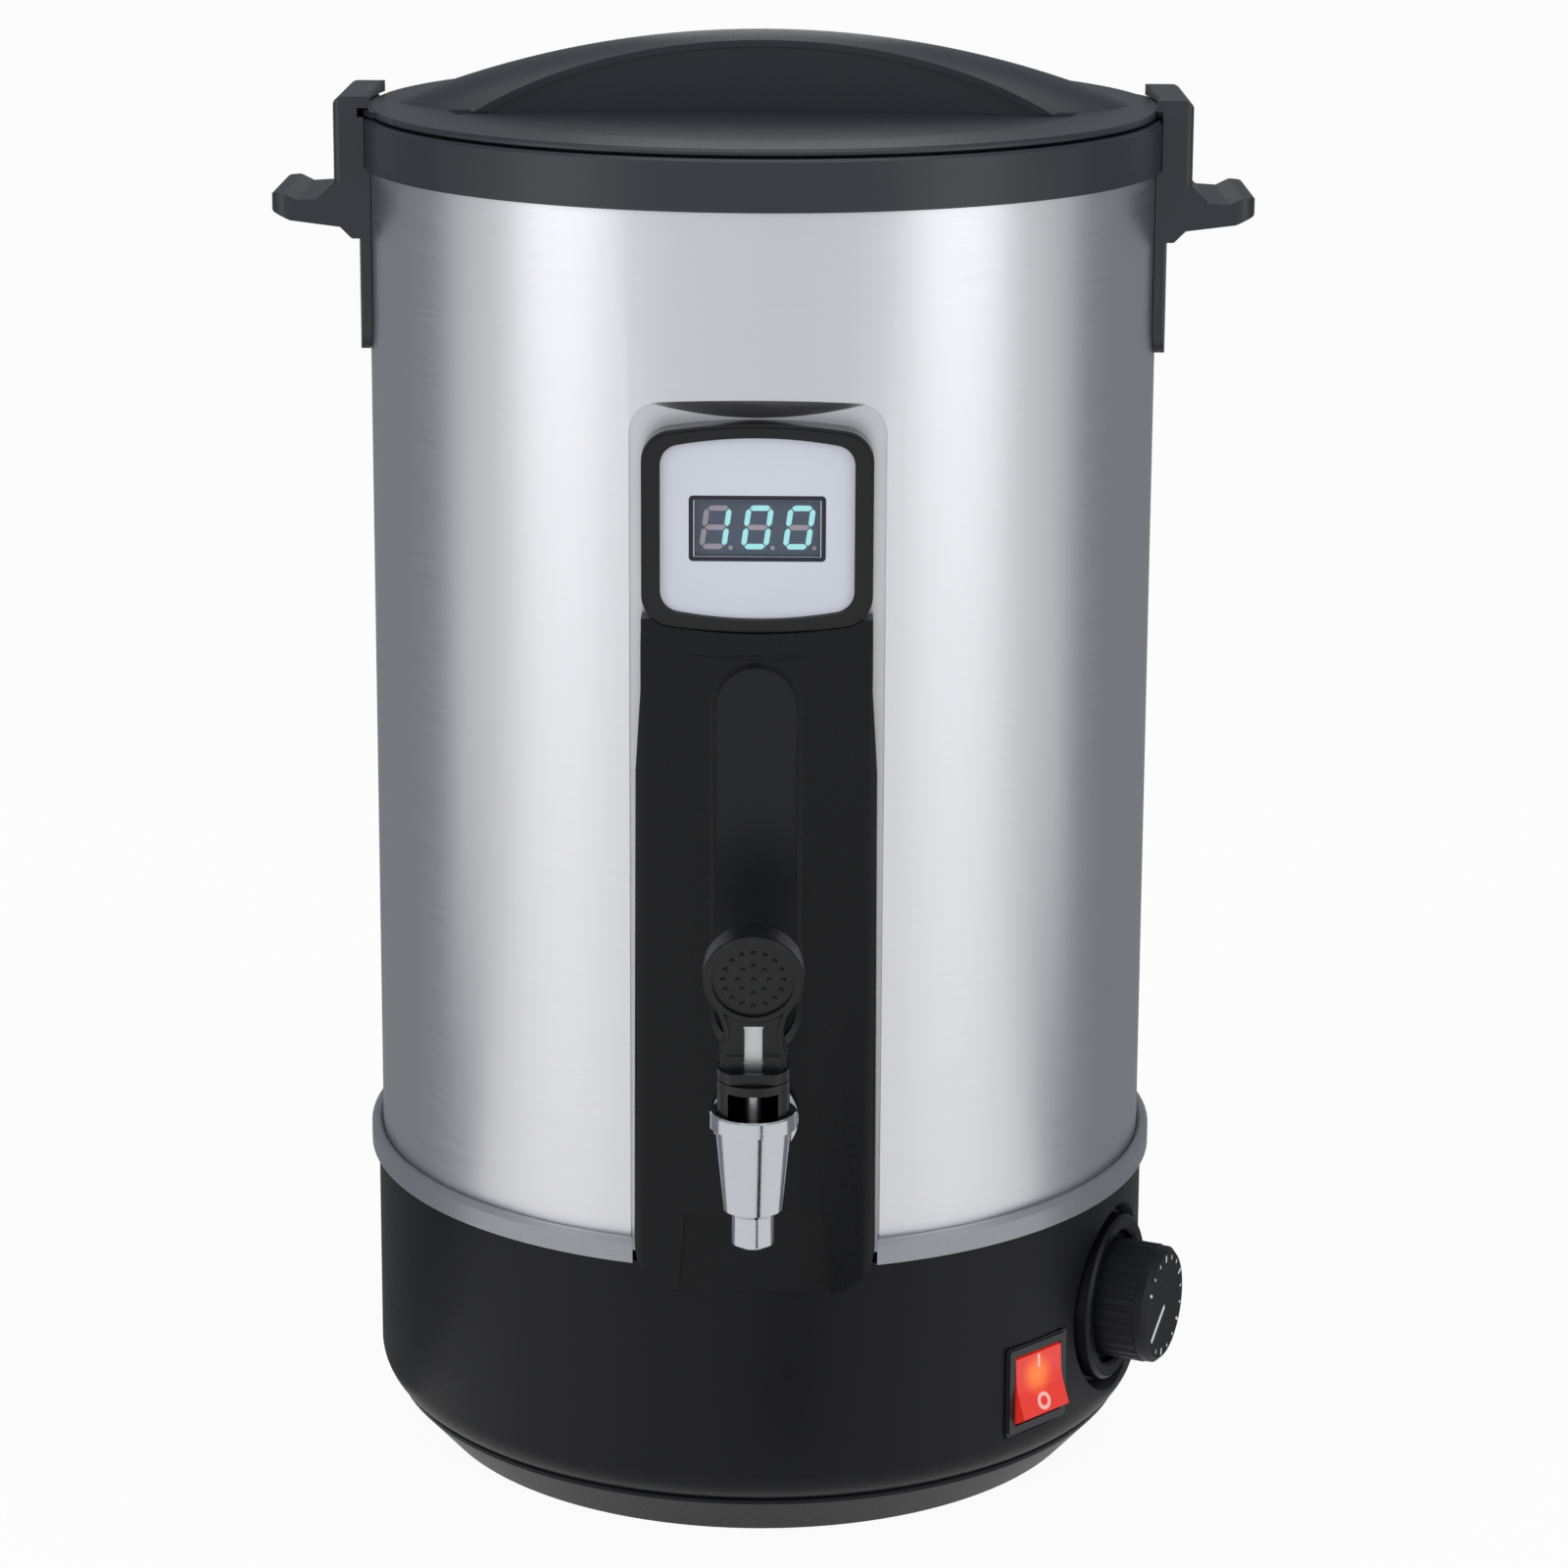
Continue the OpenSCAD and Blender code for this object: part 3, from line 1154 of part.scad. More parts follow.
module switch_case() {
    color(black_plastic) facing(switch_dir) difference() {
        union() {
            front_plate(switch_seat, frame_front - 0.6) translate([0, switch_z]) round_rect(switch_w, switch_h, 1);
            front_plate(frame_front - 0.6, frame_front)
                translate([0, switch_z]) round_rect(switch_w - 1.2, switch_h - 1.2, 1);
            front_plate(switch_seat - 22, switch_seat)
                translate([0, switch_z]) square([switch_w - 2.3, switch_h - 2.3], center = true);
        }
        front_plate(pivot_d - rocker_half - 1, frame_front + 1)
            translate([0, switch_z]) square([rocker_w + 0.3, 2 * rocker_half + 0.4], center = true);
        translate([-rocker_w / 2 - 1.2, -pivot_d, switch_z]) rotate([0, 90, 0])
            cylinder(r = 1.2 + run_gap, h = rocker_w + 2.4);
    }
}

module rocker() {
    color([0.85, 0.08, 0.05]) facing(switch_dir) translate([0, -pivot_d, switch_z]) rotate([-rocker_swing / 2, 0, 0]) {
        rotate([90, 0, 90]) translate([0, 0, -rocker_w / 2]) linear_extrude(rocker_w) intersection() {
            circle(r = rocker_half);
            polygon([[4, -6], [4, 6], [0, 12], [-6.3, 12], [-4.6, 1.5], [-4.6, -1.5], [-6.3, -12], [0, -12]]);
        }
        translate([-rocker_w / 2 - 1, 0, 0]) rotate([0, 90, 0]) cylinder(r = 1.2, h = rocker_w + 2);
    }
}

module switch_terminals() {
    color(brass) facing(switch_dir) for (z = [-7, 0, 7])
        translate([-2.4, 22 - switch_seat, switch_z + z - 0.4]) cube([4.8, 9, 0.8]);
}

module mains_inlet() {
    color(black_plastic) facing(180) translate([0, 0, inlet_z]) difference() {
        union() {
            front_plate(inlet_seat, inlet_seat + 3) round_rect(50, 25, 3);
            front_plate(inlet_seat - 18, inlet_seat) square([27.4, 20.4], center = true);
        }
        front_plate(inlet_seat - 14, inlet_seat + 4) polygon([[-12.2, -8.4], [12.2, -8.4], [12.2, 4.4],
            [8.2, 8.4], [-8.2, 8.4], [-12.2, 4.4]]);
        for (x = [-20, 20]) {
            front_rod(1.5 + run_gap, inlet_seat - 1, inlet_seat + 4, x = x);
            front_cone(1.5 + run_gap, 3.2, inlet_seat + 1.3, inlet_seat + 3 + eps, x = x);
        }
        for (p = pin_at) front_plate(inlet_seat - 20, inlet_seat - 13)
            translate(p) square([2.1, 4.1], center = true);
    }
}

pin_at = [[-7, -2.5], [7, -2.5], [0, 2.2]];

module inlet_pins() {
    color(bright) facing(180) translate([0, 0, inlet_z]) for (p = pin_at)
        front_plate(inlet_seat - 24, inlet_seat - 3) translate(p) square([2, 4], center = true);
}

module inlet_screws() {
    color(bright) facing(180) for (x = [-20, 20]) {
        front_rod(1.5, inlet_seat - boss_t - 2, inlet_seat + 1.4, x = x, z = inlet_z);
        difference() {
            front_cone(1.5, 3.1, inlet_seat + 1.35, inlet_seat + 2.95, x = x, z = inlet_z);
            front_plate(inlet_seat + 2.3, inlet_seat + 4) translate([x, inlet_z]) square([4, 0.8], center = true);
        }
    }
}

// ---------- heater and its clamp ----------

element_r = 58;
element_t = 7;
stud_r = 3;
bar_t = 2;

module element_plate() {
    color([0.72, 0.73, 0.75]) tube(pot_r - 30, stud_r + run_gap, plate_under, pot_floor);
}

module heating_element() {
    color([0.45, 0.44, 0.43]) translate([0, 0, plate_under]) {
        rotate([0, 0, 110]) rotate_extrude(angle = 320) translate([element_r, 0]) difference() {
            union() {
                translate([0, -element_t / 2 - 0.5]) circle(d = element_t);
                translate([-element_t / 2, -element_t / 2 - 0.5]) square([element_t, element_t / 2 + 0.5]);
            }
            translate([-10, 0]) square([20, 5]);
        }
        for (a = [112, 68]) rotate([0, 0, a]) translate([element_r, 0, -20]) cylinder(r = 2.2, h = 17);
    }
}

module thermal_cutout() {
    color([0.85, 0.84, 0.80]) translate([-28, -22, plate_under]) {
        translate([0, 0, -1]) cylinder(r = 11, h = 1);
        translate([0, 0, -8]) cylinder(r = 8, h = 8);
        for (y = [-4, 4]) translate([-1.5, y - 0.4, -14]) cube([3, 0.8, 7]);
    }
}

module temperature_probe() {
    color(bright) translate([30, -20, plate_under]) {
        translate([0, 0, -2]) cylinder(r = 6, h = 2);
        translate([0, 0, -12]) cylinder(r = 3, h = 11);
    }
}

module clamp_bar() {
    color(steel) translate([0, 0, base_top]) difference() {
        union() {
            translate([-12, -deck_r - 8, 0]) cube([24, 2 * deck_r + 16, bar_t]);
            for (x = [-12, 10.5]) translate([x, -deck_r + 14, 0]) cube([1.5, 2 * deck_r - 28, 7]);
        }
        translate([0, 0, -1]) cylinder(r = stud_r + run_gap, h = 10);
    }
}

module clamp_stud() {
    color(bright) translate([0, 0, base_top - 12]) cylinder(r = stud_r, h = pot_floor - base_top + 12);
}

module clamp_nut() {
    color(bright) translate([0, 0, base_top - 5]) difference() {
        cylinder(r = 5.8, h = 5, $fn = 6);
        translate([0, 0, -1]) cylinder(r = stud_r + run_gap, h = 7);
    }
}

module terminal_block() {
    color([0.92, 0.91, 0.88]) translate([-30, 10, foot_gap + foot_plate]) difference() {
        translate([-6, -22, 0]) cube([18, 44, 16]);
        for (y = [-15, -5, 5, 15]) translate([3, y, 5]) {
            cylinder(r = 2.4, h = 20);
            translate([-20, 0, 0]) rotate([0, 90, 0]) cylinder(r = 2, h = 50);
        }
    }
}

base_housing();
bottom_cover();
cover_screws();
trim_ring();
outer_shell();
insulation_jacket();
inner_pot();
collar();
lid();
lid_gasket();
handle_left();
handle_right();
handle_screws();
tap_panel();
panel_screws();
gauge_window();
gauge_ferrule();
gauge_tube();
gauge_plug();
display_bezel();
display_face_plate();
display_lens();
display_module();
digits_lit();
digits_dark();
display_board();
tap_body();
tap_front_gasket();
tap_spacer();
tap_rear_gasket();
tap_nut();
tap_bonnet();
valve_stem();
stem_seal();
stem_spring();
lever_pin();
tap_lever();
dial_ring();
dial_knob();
dial_shaft();
thermostat();
thermostat_bulb();
bulb_clips();
switch_case();
rocker();
switch_terminals();
mains_inlet();
inlet_pins();
inlet_screws();
element_plate();
heating_element();
thermal_cutout();
temperature_probe();
clamp_bar();
clamp_stud();
clamp_nut();
terminal_block();
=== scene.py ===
"""Looks of an electric candle wax melter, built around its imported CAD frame."""
import math
import bmesh
import bpy
from mathutils import Matrix, Vector


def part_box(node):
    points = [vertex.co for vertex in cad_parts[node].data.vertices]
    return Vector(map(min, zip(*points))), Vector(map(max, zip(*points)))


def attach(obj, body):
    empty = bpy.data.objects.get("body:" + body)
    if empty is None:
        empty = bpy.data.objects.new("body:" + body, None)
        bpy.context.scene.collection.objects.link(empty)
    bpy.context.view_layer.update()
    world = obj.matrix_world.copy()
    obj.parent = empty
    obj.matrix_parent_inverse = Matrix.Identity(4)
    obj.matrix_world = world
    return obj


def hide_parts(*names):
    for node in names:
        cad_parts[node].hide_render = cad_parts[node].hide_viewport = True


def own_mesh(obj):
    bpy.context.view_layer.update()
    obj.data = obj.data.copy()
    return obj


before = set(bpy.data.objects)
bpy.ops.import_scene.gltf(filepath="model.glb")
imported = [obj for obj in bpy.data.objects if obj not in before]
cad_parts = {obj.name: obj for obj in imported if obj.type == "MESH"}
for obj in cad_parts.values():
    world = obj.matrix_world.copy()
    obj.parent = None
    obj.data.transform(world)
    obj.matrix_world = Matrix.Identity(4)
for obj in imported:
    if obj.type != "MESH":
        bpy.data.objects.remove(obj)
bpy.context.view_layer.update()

bl_info = {
    "name": "Candle wax melter",
    "version": (1, 0, 0),
    "blender": (4, 5, 0),
    "location": "View3D > Sidebar > Melter",
    "description": "Finishes, printed marks and studio for the candle wax melter",
    "category": "Object",
}

SWITCH_TURN = math.radians(44.4)    # direction of the rocker switch, from the front towards +X
SWITCH_UP = 0.040                   # height of the rocker's pivot
PIVOT_OUT = 0.1184                  # distance of the rocker's pivot from the urn's axis
ROCKER_LEAN = math.radians(12)      # how far the rocker is pressed in at rest
FLANK_LEAN = 9.2                    # degrees between the rocker's pivot plane and each half of its face
FLANK_RISE = 0.1619                 # rise of each half of that face, for a unit of height
DIAL_TURN = math.radians(66)        # direction of the dial, from the front towards +X
DIAL_UP = 0.053                     # height of the dial's axis
DIAL_FACE = 0.1379                  # distance of the dial's face from the urn's axis
POINTER_TURN = math.radians(214 - 90)
PRINT = 0.00008                     # thickness of a printed mark


# ---------- sizes and colours that a user may change ----------

class MelterPlastics(bpy.types.PropertyGroup):
    base: bpy.props.StringProperty(name="Base", description="sRGB hex of the base's moulded ABS", default="0A0B10")
    lid: bpy.props.StringProperty(name="Lid", description="sRGB hex of the lid's and handles' polypropylene",
                                  default="23262E")
    panel: bpy.props.StringProperty(name="Panel", description="sRGB hex of the tap panel's and knob's ABS",
                                    default="0B0C0F")
    ring: bpy.props.StringProperty(name="Trim ring", description="sRGB hex of the ring's metallic paint",
                                   default="A4A4AC")
    rocker: bpy.props.StringProperty(name="Rocker", description="sRGB hex of the lit red rocker", default="E6352A")
    grain: bpy.props.FloatProperty(name="Mould grain", description="Width of the spark-eroded grain on the plastics",
                                   default=0.0006, unit="LENGTH", precision=4)


class MelterMetals(bpy.types.PropertyGroup):
    shell: bpy.props.StringProperty(name="Shell", description="sRGB hex of the brushed stainless steel",
                                    default="DCDCE0")
    chrome: bpy.props.StringProperty(name="Tap", description="sRGB hex of the tap's chrome plating",
                                     default="C9CCD2")
    shell_roughness: bpy.props.FloatProperty(name="Shell roughness", description="How dull the brushed shell is",
                                             default=0.38, min=0.05, max=1.0)
    shell_stretch: bpy.props.FloatProperty(name="Brushing", description="How far the brush marks draw out a highlight",
                                           default=0.6, min=0.0, max=1.0)
    brush: bpy.props.FloatProperty(name="Brush mark", description="Height of one brush mark on the shell",
                                   default=0.0007, unit="LENGTH", precision=4)


class MelterPrint(bpy.types.PropertyGroup):
    white: bpy.props.StringProperty(name="White print", description="sRGB hex of the printed and filled marks",
                                    default="E6E8EC")
    figures: bpy.props.StringProperty(name="Lit figures", description="sRGB hex of the lit numbers",
                                      default="A6F1F4")
    tick: bpy.props.FloatProperty(name="Tick", description="Length of a mark on the dial's face",
                                  default=0.0022, unit="LENGTH", precision=4)
    ticks: bpy.props.IntProperty(name="Ticks", description="Marks round the dial's face", default=14, min=2, max=60)
    stroke: bpy.props.FloatProperty(name="Stroke", description="Width of the printed strokes",
                                    default=0.0006, unit="LENGTH", precision=4)


class MelterStudio(bpy.types.PropertyGroup):
    distance: bpy.props.FloatProperty(name="Distance", description="Camera's distance from the urn's axis",
                                      default=1.30, unit="LENGTH")
    height: bpy.props.FloatProperty(name="Height", description="Camera's height above the floor",
                                    default=0.56, unit="LENGTH")
    turn: bpy.props.FloatProperty(name="Turn", description="Camera's direction, from the front towards +X",
                                  default=math.radians(0.65), subtype="ANGLE")
    pitch: bpy.props.FloatProperty(name="Pitch", description="How far the camera looks down",
                                   default=math.radians(12.4), subtype="ANGLE")
    roll: bpy.props.FloatProperty(name="Roll", description="How far the camera is tipped sideways",
                                  default=math.radians(0.22), subtype="ANGLE")
    lens: bpy.props.FloatProperty(name="Lens", description="Focal length on a 36 mm sensor, in mm", default=98.2)
    shift_x: bpy.props.FloatProperty(name="Shift X", description="Sideways lens shift", default=0.014)
    shift_y: bpy.props.FloatProperty(name="Shift Y", description="Upright lens shift", default=-0.14)
    softbox: bpy.props.FloatProperty(name="Softboxes", description="Radiance of the two side softboxes",
                                     default=1.55, min=0.0)
    overhead: bpy.props.FloatProperty(name="Overhead", description="Radiance of the overhead softbox",
                                      default=1.2, min=0.0)
    room: bpy.props.FloatProperty(name="Room", description="Strength of the plain room around", default=0.5, min=0.0)
    flags: bpy.props.StringProperty(name="Side cards", description="sRGB hex of the cards beside the steel",
                                    default="86878C")


GROUPS = {"melter_plastics": MelterPlastics, "melter_metals": MelterMetals, "melter_print": MelterPrint,
          "melter_studio": MelterStudio}


# ---------- tools for materials ----------

def linear(code, alpha=1.0):
    """An sRGB hex code as linear red, green, blue and alpha."""
    parts = [int(code[i:i + 2], 16) / 255 for i in (0, 2, 4)]
    return [c / 12.92 if c <= 0.04045 else ((c + 0.055) / 1.055) ** 2.4 for c in parts] + [alpha]


def add(tree, kind, inputs=None, **settings):
    """One node with its settings; an input is a value or the socket that feeds it."""
    node = tree.nodes.new(kind)
    for name, value in settings.items():
        setattr(node, name, value)
    for name, value in (inputs or {}).items():
        if isinstance(value, bpy.types.NodeSocket):
            tree.links.new(value, node.inputs[name])
        else:
            node.inputs[name].default_value = value
    return node


def start(name):
    """A new node material, its tree and its Principled shader."""
    material = bpy.data.materials.new(name)
    material.use_nodes = True
    return material, material.node_tree, material.node_tree.nodes["Principled BSDF"]


def feed(tree, shader, **sockets):
    """Links sockets to the shader's inputs; underscores stand for spaces."""
    for name, socket in sockets.items():
        tree.links.new(socket, shader.inputs[name.replace("_", " ")])


def settle(shader, **values):
    """Plain values on the shader's own sockets."""
    for name, value in values.items():
        shader.inputs[name.replace("_", " ")].default_value = value


def moulded(name, code, roughness, grain, lift=0.06, spread=0.06, shine=0.5):
    """Injection-moulded thermoplastic: a fine spark-eroded grain that breaks up the gloss, and faint flow shade."""
    material, tree, shader = start(name)
    place = add(tree, "ShaderNodeTexCoord").outputs["Object"]
    pits = add(tree, "ShaderNodeTexNoise", {"Vector": place, "Scale": 1 / grain, "Detail": 3.0, "Roughness": 0.6})
    flow = add(tree, "ShaderNodeTexNoise", {"Vector": place, "Scale": 14.0, "Detail": 2.0})
    dull = add(tree, "ShaderNodeMapRange", {"Value": pits.outputs["Fac"], "From Min": 0.35, "From Max": 0.65,
                                            "To Min": roughness - spread, "To Max": roughness + spread})
    colour = linear(code)
    tint = add(tree, "ShaderNodeMix", {"Factor": flow.outputs["Fac"], "A": [c * 0.88 for c in colour[:3]] + [1],
                                       "B": [c * 1.12 for c in colour[:3]] + [1]}, data_type="RGBA")
    relief = add(tree, "ShaderNodeBump", {"Height": pits.outputs["Fac"], "Strength": lift, "Distance": 0.0004})
    feed(tree, shader, Base_Color=tint.outputs["Result"], Roughness=dull.outputs["Result"],
         Normal=relief.outputs["Normal"])
    settle(shader, IOR=1.50, Specular_IOR_Level=shine)
    return material


def bare_metal(name, code, roughness, streak=None, stretch=(1.0, 1.0, 60.0), depth=0.05, varied=0.05):
    """Metal whose last tool left parallel marks: a noise drawn out along them varies the roughness and the relief."""
    material, tree, shader = start(name)
    colour = linear(code)
    settle(shader, Metallic=1.0, Base_Color=colour, Roughness=roughness)
    if streak:
        place = add(tree, "ShaderNodeTexCoord").outputs["Object"]
        run = add(tree, "ShaderNodeMapping", {"Vector": place, "Scale": [1 / (streak * s) for s in stretch]})
        marks = add(tree, "ShaderNodeTexNoise", {"Vector": run.outputs["Vector"], "Scale": 1.0, "Detail": 3.0})
        dull = add(tree, "ShaderNodeMapRange", {"Value": marks.outputs["Fac"], "From Min": 0.3, "From Max": 0.7,
                                                "To Min": roughness - varied, "To Max": roughness + varied})
        tint = add(tree, "ShaderNodeMix", {"Factor": marks.outputs["Fac"], "A": [c * 0.93 for c in colour[:3]] + [1],
                                           "B": colour}, data_type="RGBA")
        relief = add(tree, "ShaderNodeBump", {"Height": marks.outputs["Fac"], "Strength": depth, "Distance": 0.0002})
        feed(tree, shader, Roughness=dull.outputs["Result"], Base_Color=tint.outputs["Result"],
             Normal=relief.outputs["Normal"])
    return material


# ---------- finishes of the CAD nodes ----------

def wear(material, *names):
    """Puts one finish on the named CAD nodes."""
    for name in names:
        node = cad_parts[name]
        node.data.materials.clear()
        node.data.materials.append(material)


class MELTER_OT_plastics(bpy.types.Operator):
    """Finishes of the moulded plastic pieces"""
    bl_idname = "melter.plastics"
    bl_label = "Moulded plastics"

    def execute(self, context):
        sizes = context.scene.melter_plastics
        # ABS moulded against a spark-eroded texture: a deep satin black whose highlights are wide and faint
        wear(moulded("abs_satin_black_base", sizes.base, 0.42, sizes.grain, shine=0.22), "base_housing",
             "bottom_cover", "dial_ring")
        # the same ABS against a polished mould: the tap panel's upright edges shine softly
        wear(moulded("abs_black_panel", sizes.panel, 0.30, sizes.grain, 0.03, shine=0.22), "tap_panel")
        wear(moulded("abs_black_bezel", sizes.panel, 0.20, sizes.grain, 0.01, 0.02, shine=0.36), "display_bezel")
        # ABS with a plain satin mould finish, brighter where the lever catches the light
        wear(moulded("abs_black_lever", sizes.panel, 0.34, sizes.grain, 0.04, shine=0.4), "tap_bonnet", "tap_lever")
        wear(moulded("abs_black_knob", "17181C", 0.46, sizes.grain, 0.08, shine=0.22), "dial_knob")
        # glass-filled polypropylene: a little greyer and bluer than the base, with a slight sheen
        wear(moulded("polypropylene_lid", sizes.lid, 0.36, sizes.grain), "lid", "collar", "handle_left",
             "handle_right")
        # nylon of the switch frame and the inlet: slightly blue-black, with a soft sheen
        wear(moulded("nylon_black_switch", "1C1D22", 0.34, sizes.grain, 0.03), "switch_case", "mains_inlet")
        # ceramic and phenolic pieces under the pot: dry, off-white, slightly rough
        wear(moulded("steatite_ceramic", "E4DFD4", 0.55, 0.0008, 0.05), "thermal_cutout", "terminal_block")
        return {"FINISHED"}


class MELTER_OT_ring(bpy.types.Operator):
    """Metallic paint of the trim ring"""
    bl_idname = "melter.ring"
    bl_label = "Trim ring"

    def execute(self, context):
        sizes = context.scene.melter_plastics
        # ABS sprayed with a fine aluminium flake paint: half metallic, with a soft sparkle
        material, tree, shader = start("aluminium_flake_paint")
        place = add(tree, "ShaderNodeTexCoord").outputs["Object"]
        flake = add(tree, "ShaderNodeTexVoronoi", {"Vector": place, "Scale": 2500.0})
        colour = linear(sizes.ring)
        tint = add(tree, "ShaderNodeMix", {"Factor": flake.outputs["Distance"], "A": colour,
                                           "B": [c * 0.8 for c in colour[:3]] + [1]}, data_type="RGBA")
        feed(tree, shader, Base_Color=tint.outputs["Result"])
        settle(shader, Metallic=0.7, Roughness=0.34, Coat_Weight=0.3, Coat_Roughness=0.15)
        wear(material, "trim_ring")
        return {"FINISHED"}


class MELTER_OT_metals(bpy.types.Operator):
    """Finishes of the metal pieces"""
    bl_idname = "melter.metals"
    bl_label = "Metals"

    def execute(self, context):
        sizes = context.scene.melter_metals
        # stainless sheet, belt-brushed round the shell: the fine marks draw every highlight out upwards and downwards
        sheet = bare_metal("stainless_brushed", sizes.shell, sizes.shell_roughness, sizes.brush, (40, 40, 1), 0.05,
                           0.04)
        tree = sheet.node_tree
        shader = tree.nodes["Principled BSDF"]
        round_axis = add(tree, "ShaderNodeTangent", direction_type="RADIAL", axis="Z")
        feed(tree, shader, Tangent=round_axis.outputs["Tangent"])
        settle(shader, Anisotropic=sizes.shell_stretch, Anisotropic_Rotation=0.25)
        wear(sheet, "outer_shell")
        # deep-drawn stainless, washed after pressing: satin, with faint upright draw marks
        wear(bare_metal("stainless_deep_drawn", "DADBDD", 0.42, 0.0016, (1, 1, 12), 0.006, 0.02), "inner_pot",
             "clamp_bar", "tap_spacer", "bulb_clips")
        # brass casting, turned, polished and chromium plated: bright, with the polisher's slight haze
        wear(bare_metal("chrome_plate", sizes.chrome, 0.15, 0.0010, (6, 6, 1), 0.02, 0.03), "tap_body",
             "gauge_ferrule")
        # ground stainless rod: the flat through the lever shines as one even patch
        wear(bare_metal("stainless_ground", "D6D7DA", 0.40, 0.0004, (8, 8, 1), 0.005, 0.02), "valve_stem")
        # turned and rolled stainless fixings: bright, with fine tool marks
        wear(bare_metal("steel_bright", "CFD0D2", 0.24, 0.0006, (4, 4, 1), 0.02), "cover_screws", "handle_screws",
             "panel_screws", "inlet_screws", "lever_pin", "tap_nut", "clamp_stud", "clamp_nut",
             "temperature_probe")
        # mineral-filled heater tube, oxidised by its own heat
        wear(bare_metal("heater_sheath", "5A5450", 0.48, 0.0010, (3, 3, 1), 0.05), "heating_element")
        # turned brass and drawn copper: warm, with fine tool marks
        wear(bare_metal("brass_turned", "D9B468", 0.26, 0.0006, (3, 3, 1), 0.03), "dial_shaft", "switch_terminals",
             "inlet_pins")
        wear(bare_metal("copper_drawn", "D08A66", 0.30, 0.0006, (3, 3, 1), 0.03), "thermostat_bulb")
        # pressure-cast aluminium: grey, grainy skin
        wear(bare_metal("aluminium_cast", "C6C8CB", 0.52, 0.0016, (1, 1, 1), 0.15), "element_plate")
        # zinc-plated pressed steel: dull, faintly yellow
        wear(bare_metal("zinc_plate", "B9B8B2", 0.40, 0.0020, (1, 1, 1), 0.05), "thermostat")
        return {"FINISHED"}


class MELTER_OT_soft_parts(bpy.types.Operator):
    """Finishes of the gaskets, the jacket and the circuit board"""
    bl_idname = "melter.soft_parts"
    bl_label = "Gaskets and jacket"

    def execute(self, context):
        # platinum-cured silicone: milky, faintly translucent, dry to the touch
        rubber = moulded("silicone_milky", "CFCBC2", 0.50, 0.0010, 0.03)
        settle(rubber.node_tree.nodes["Principled BSDF"], Subsurface_Weight=0.15, Subsurface_Scale=0.002)
        wear(rubber, "lid_gasket", "gauge_plug", "tap_rear_gasket", "stem_seal")
        # nitrile rubber: black and matt
        wear(moulded("nitrile_black", "17181A", 0.62, 0.0008, 0.05), "tap_front_gasket")
        # glass wool: yellow felted fibres a few micrometres thick, drawn as soft clumps
        wear(moulded("glass_wool", "E3D7AE", 0.95, 0.0030, 0.6, 0.02), "insulation_jacket")
        # epoxy board under solder mask: dark green and glossy
        wear(moulded("solder_mask_green", "1F5A33", 0.30, 0.0020, 0.04), "display_board")
        return {"FINISHED"}


class MELTER_OT_display(bpy.types.Operator):
    """Finishes of the display and of the gauge"""
    bl_idname = "melter.display"
    bl_label = "Display and gauge"

    def execute(self, context):
        # polyester label, printed silver: flat, slightly bluish, with a silky shine
        plate = moulded("silver_print", "DEE1EC", 0.42, 0.0004, 0.01, 0.03)
        settle(plate.node_tree.nodes["Principled BSDF"], Metallic=0.15)
        wear(plate, "display_face_plate")
        # epoxy-filled number module behind a tinted acrylic window
        wear(moulded("module_dark", "2B3450", 0.40, 0.0010, 0.01, shine=0.2), "display_module")
        # epoxy segments: the lit ones glow pale cyan, the others show as dull grey
        lit, _, shader = start("segment_lit")
        settle(shader, Base_Color=linear("24383C"), Roughness=0.4, Specular_IOR_Level=0.2,
               Emission_Color=linear(context.scene.melter_print.figures), Emission_Strength=0.95)
        wear(lit, "digits_lit")
        wear(moulded("segment_dark", "B4A6B0", 0.45, 0.0008, 0.01, shine=0.2), "digits_dark")
        lens, _, shader = start("acrylic_tinted")
        settle(shader, Base_Color=linear("B9C4D0"), Roughness=0.06, IOR=1.49, Alpha=0.10)
        wear(lens, "display_lens")
        # smoked acrylic strip over the gauge: almost black, its face matt against glare
        wear(moulded("acrylic_smoked", "0F1014", 0.38, 0.0020, 0.02, 0.03, shine=0.3), "gauge_window")
        # borosilicate tube: clear and highly polished
        glass, _, shader = start("borosilicate_tube")
        settle(shader, Base_Color=linear("F2F6F6"), Roughness=0.03, IOR=1.47, Alpha=0.35)
        wear(glass, "gauge_tube")
        return {"FINISHED"}


def rocker_pivot():
    """The rocker's own axes at its pivot, pressed in at the top as photographed."""
    return (Matrix.Rotation(SWITCH_TURN, 4, "Z") @ Matrix.Translation((0, -PIVOT_OUT, SWITCH_UP))
            @ Matrix.Rotation(-ROCKER_LEAN, 4, "X"))


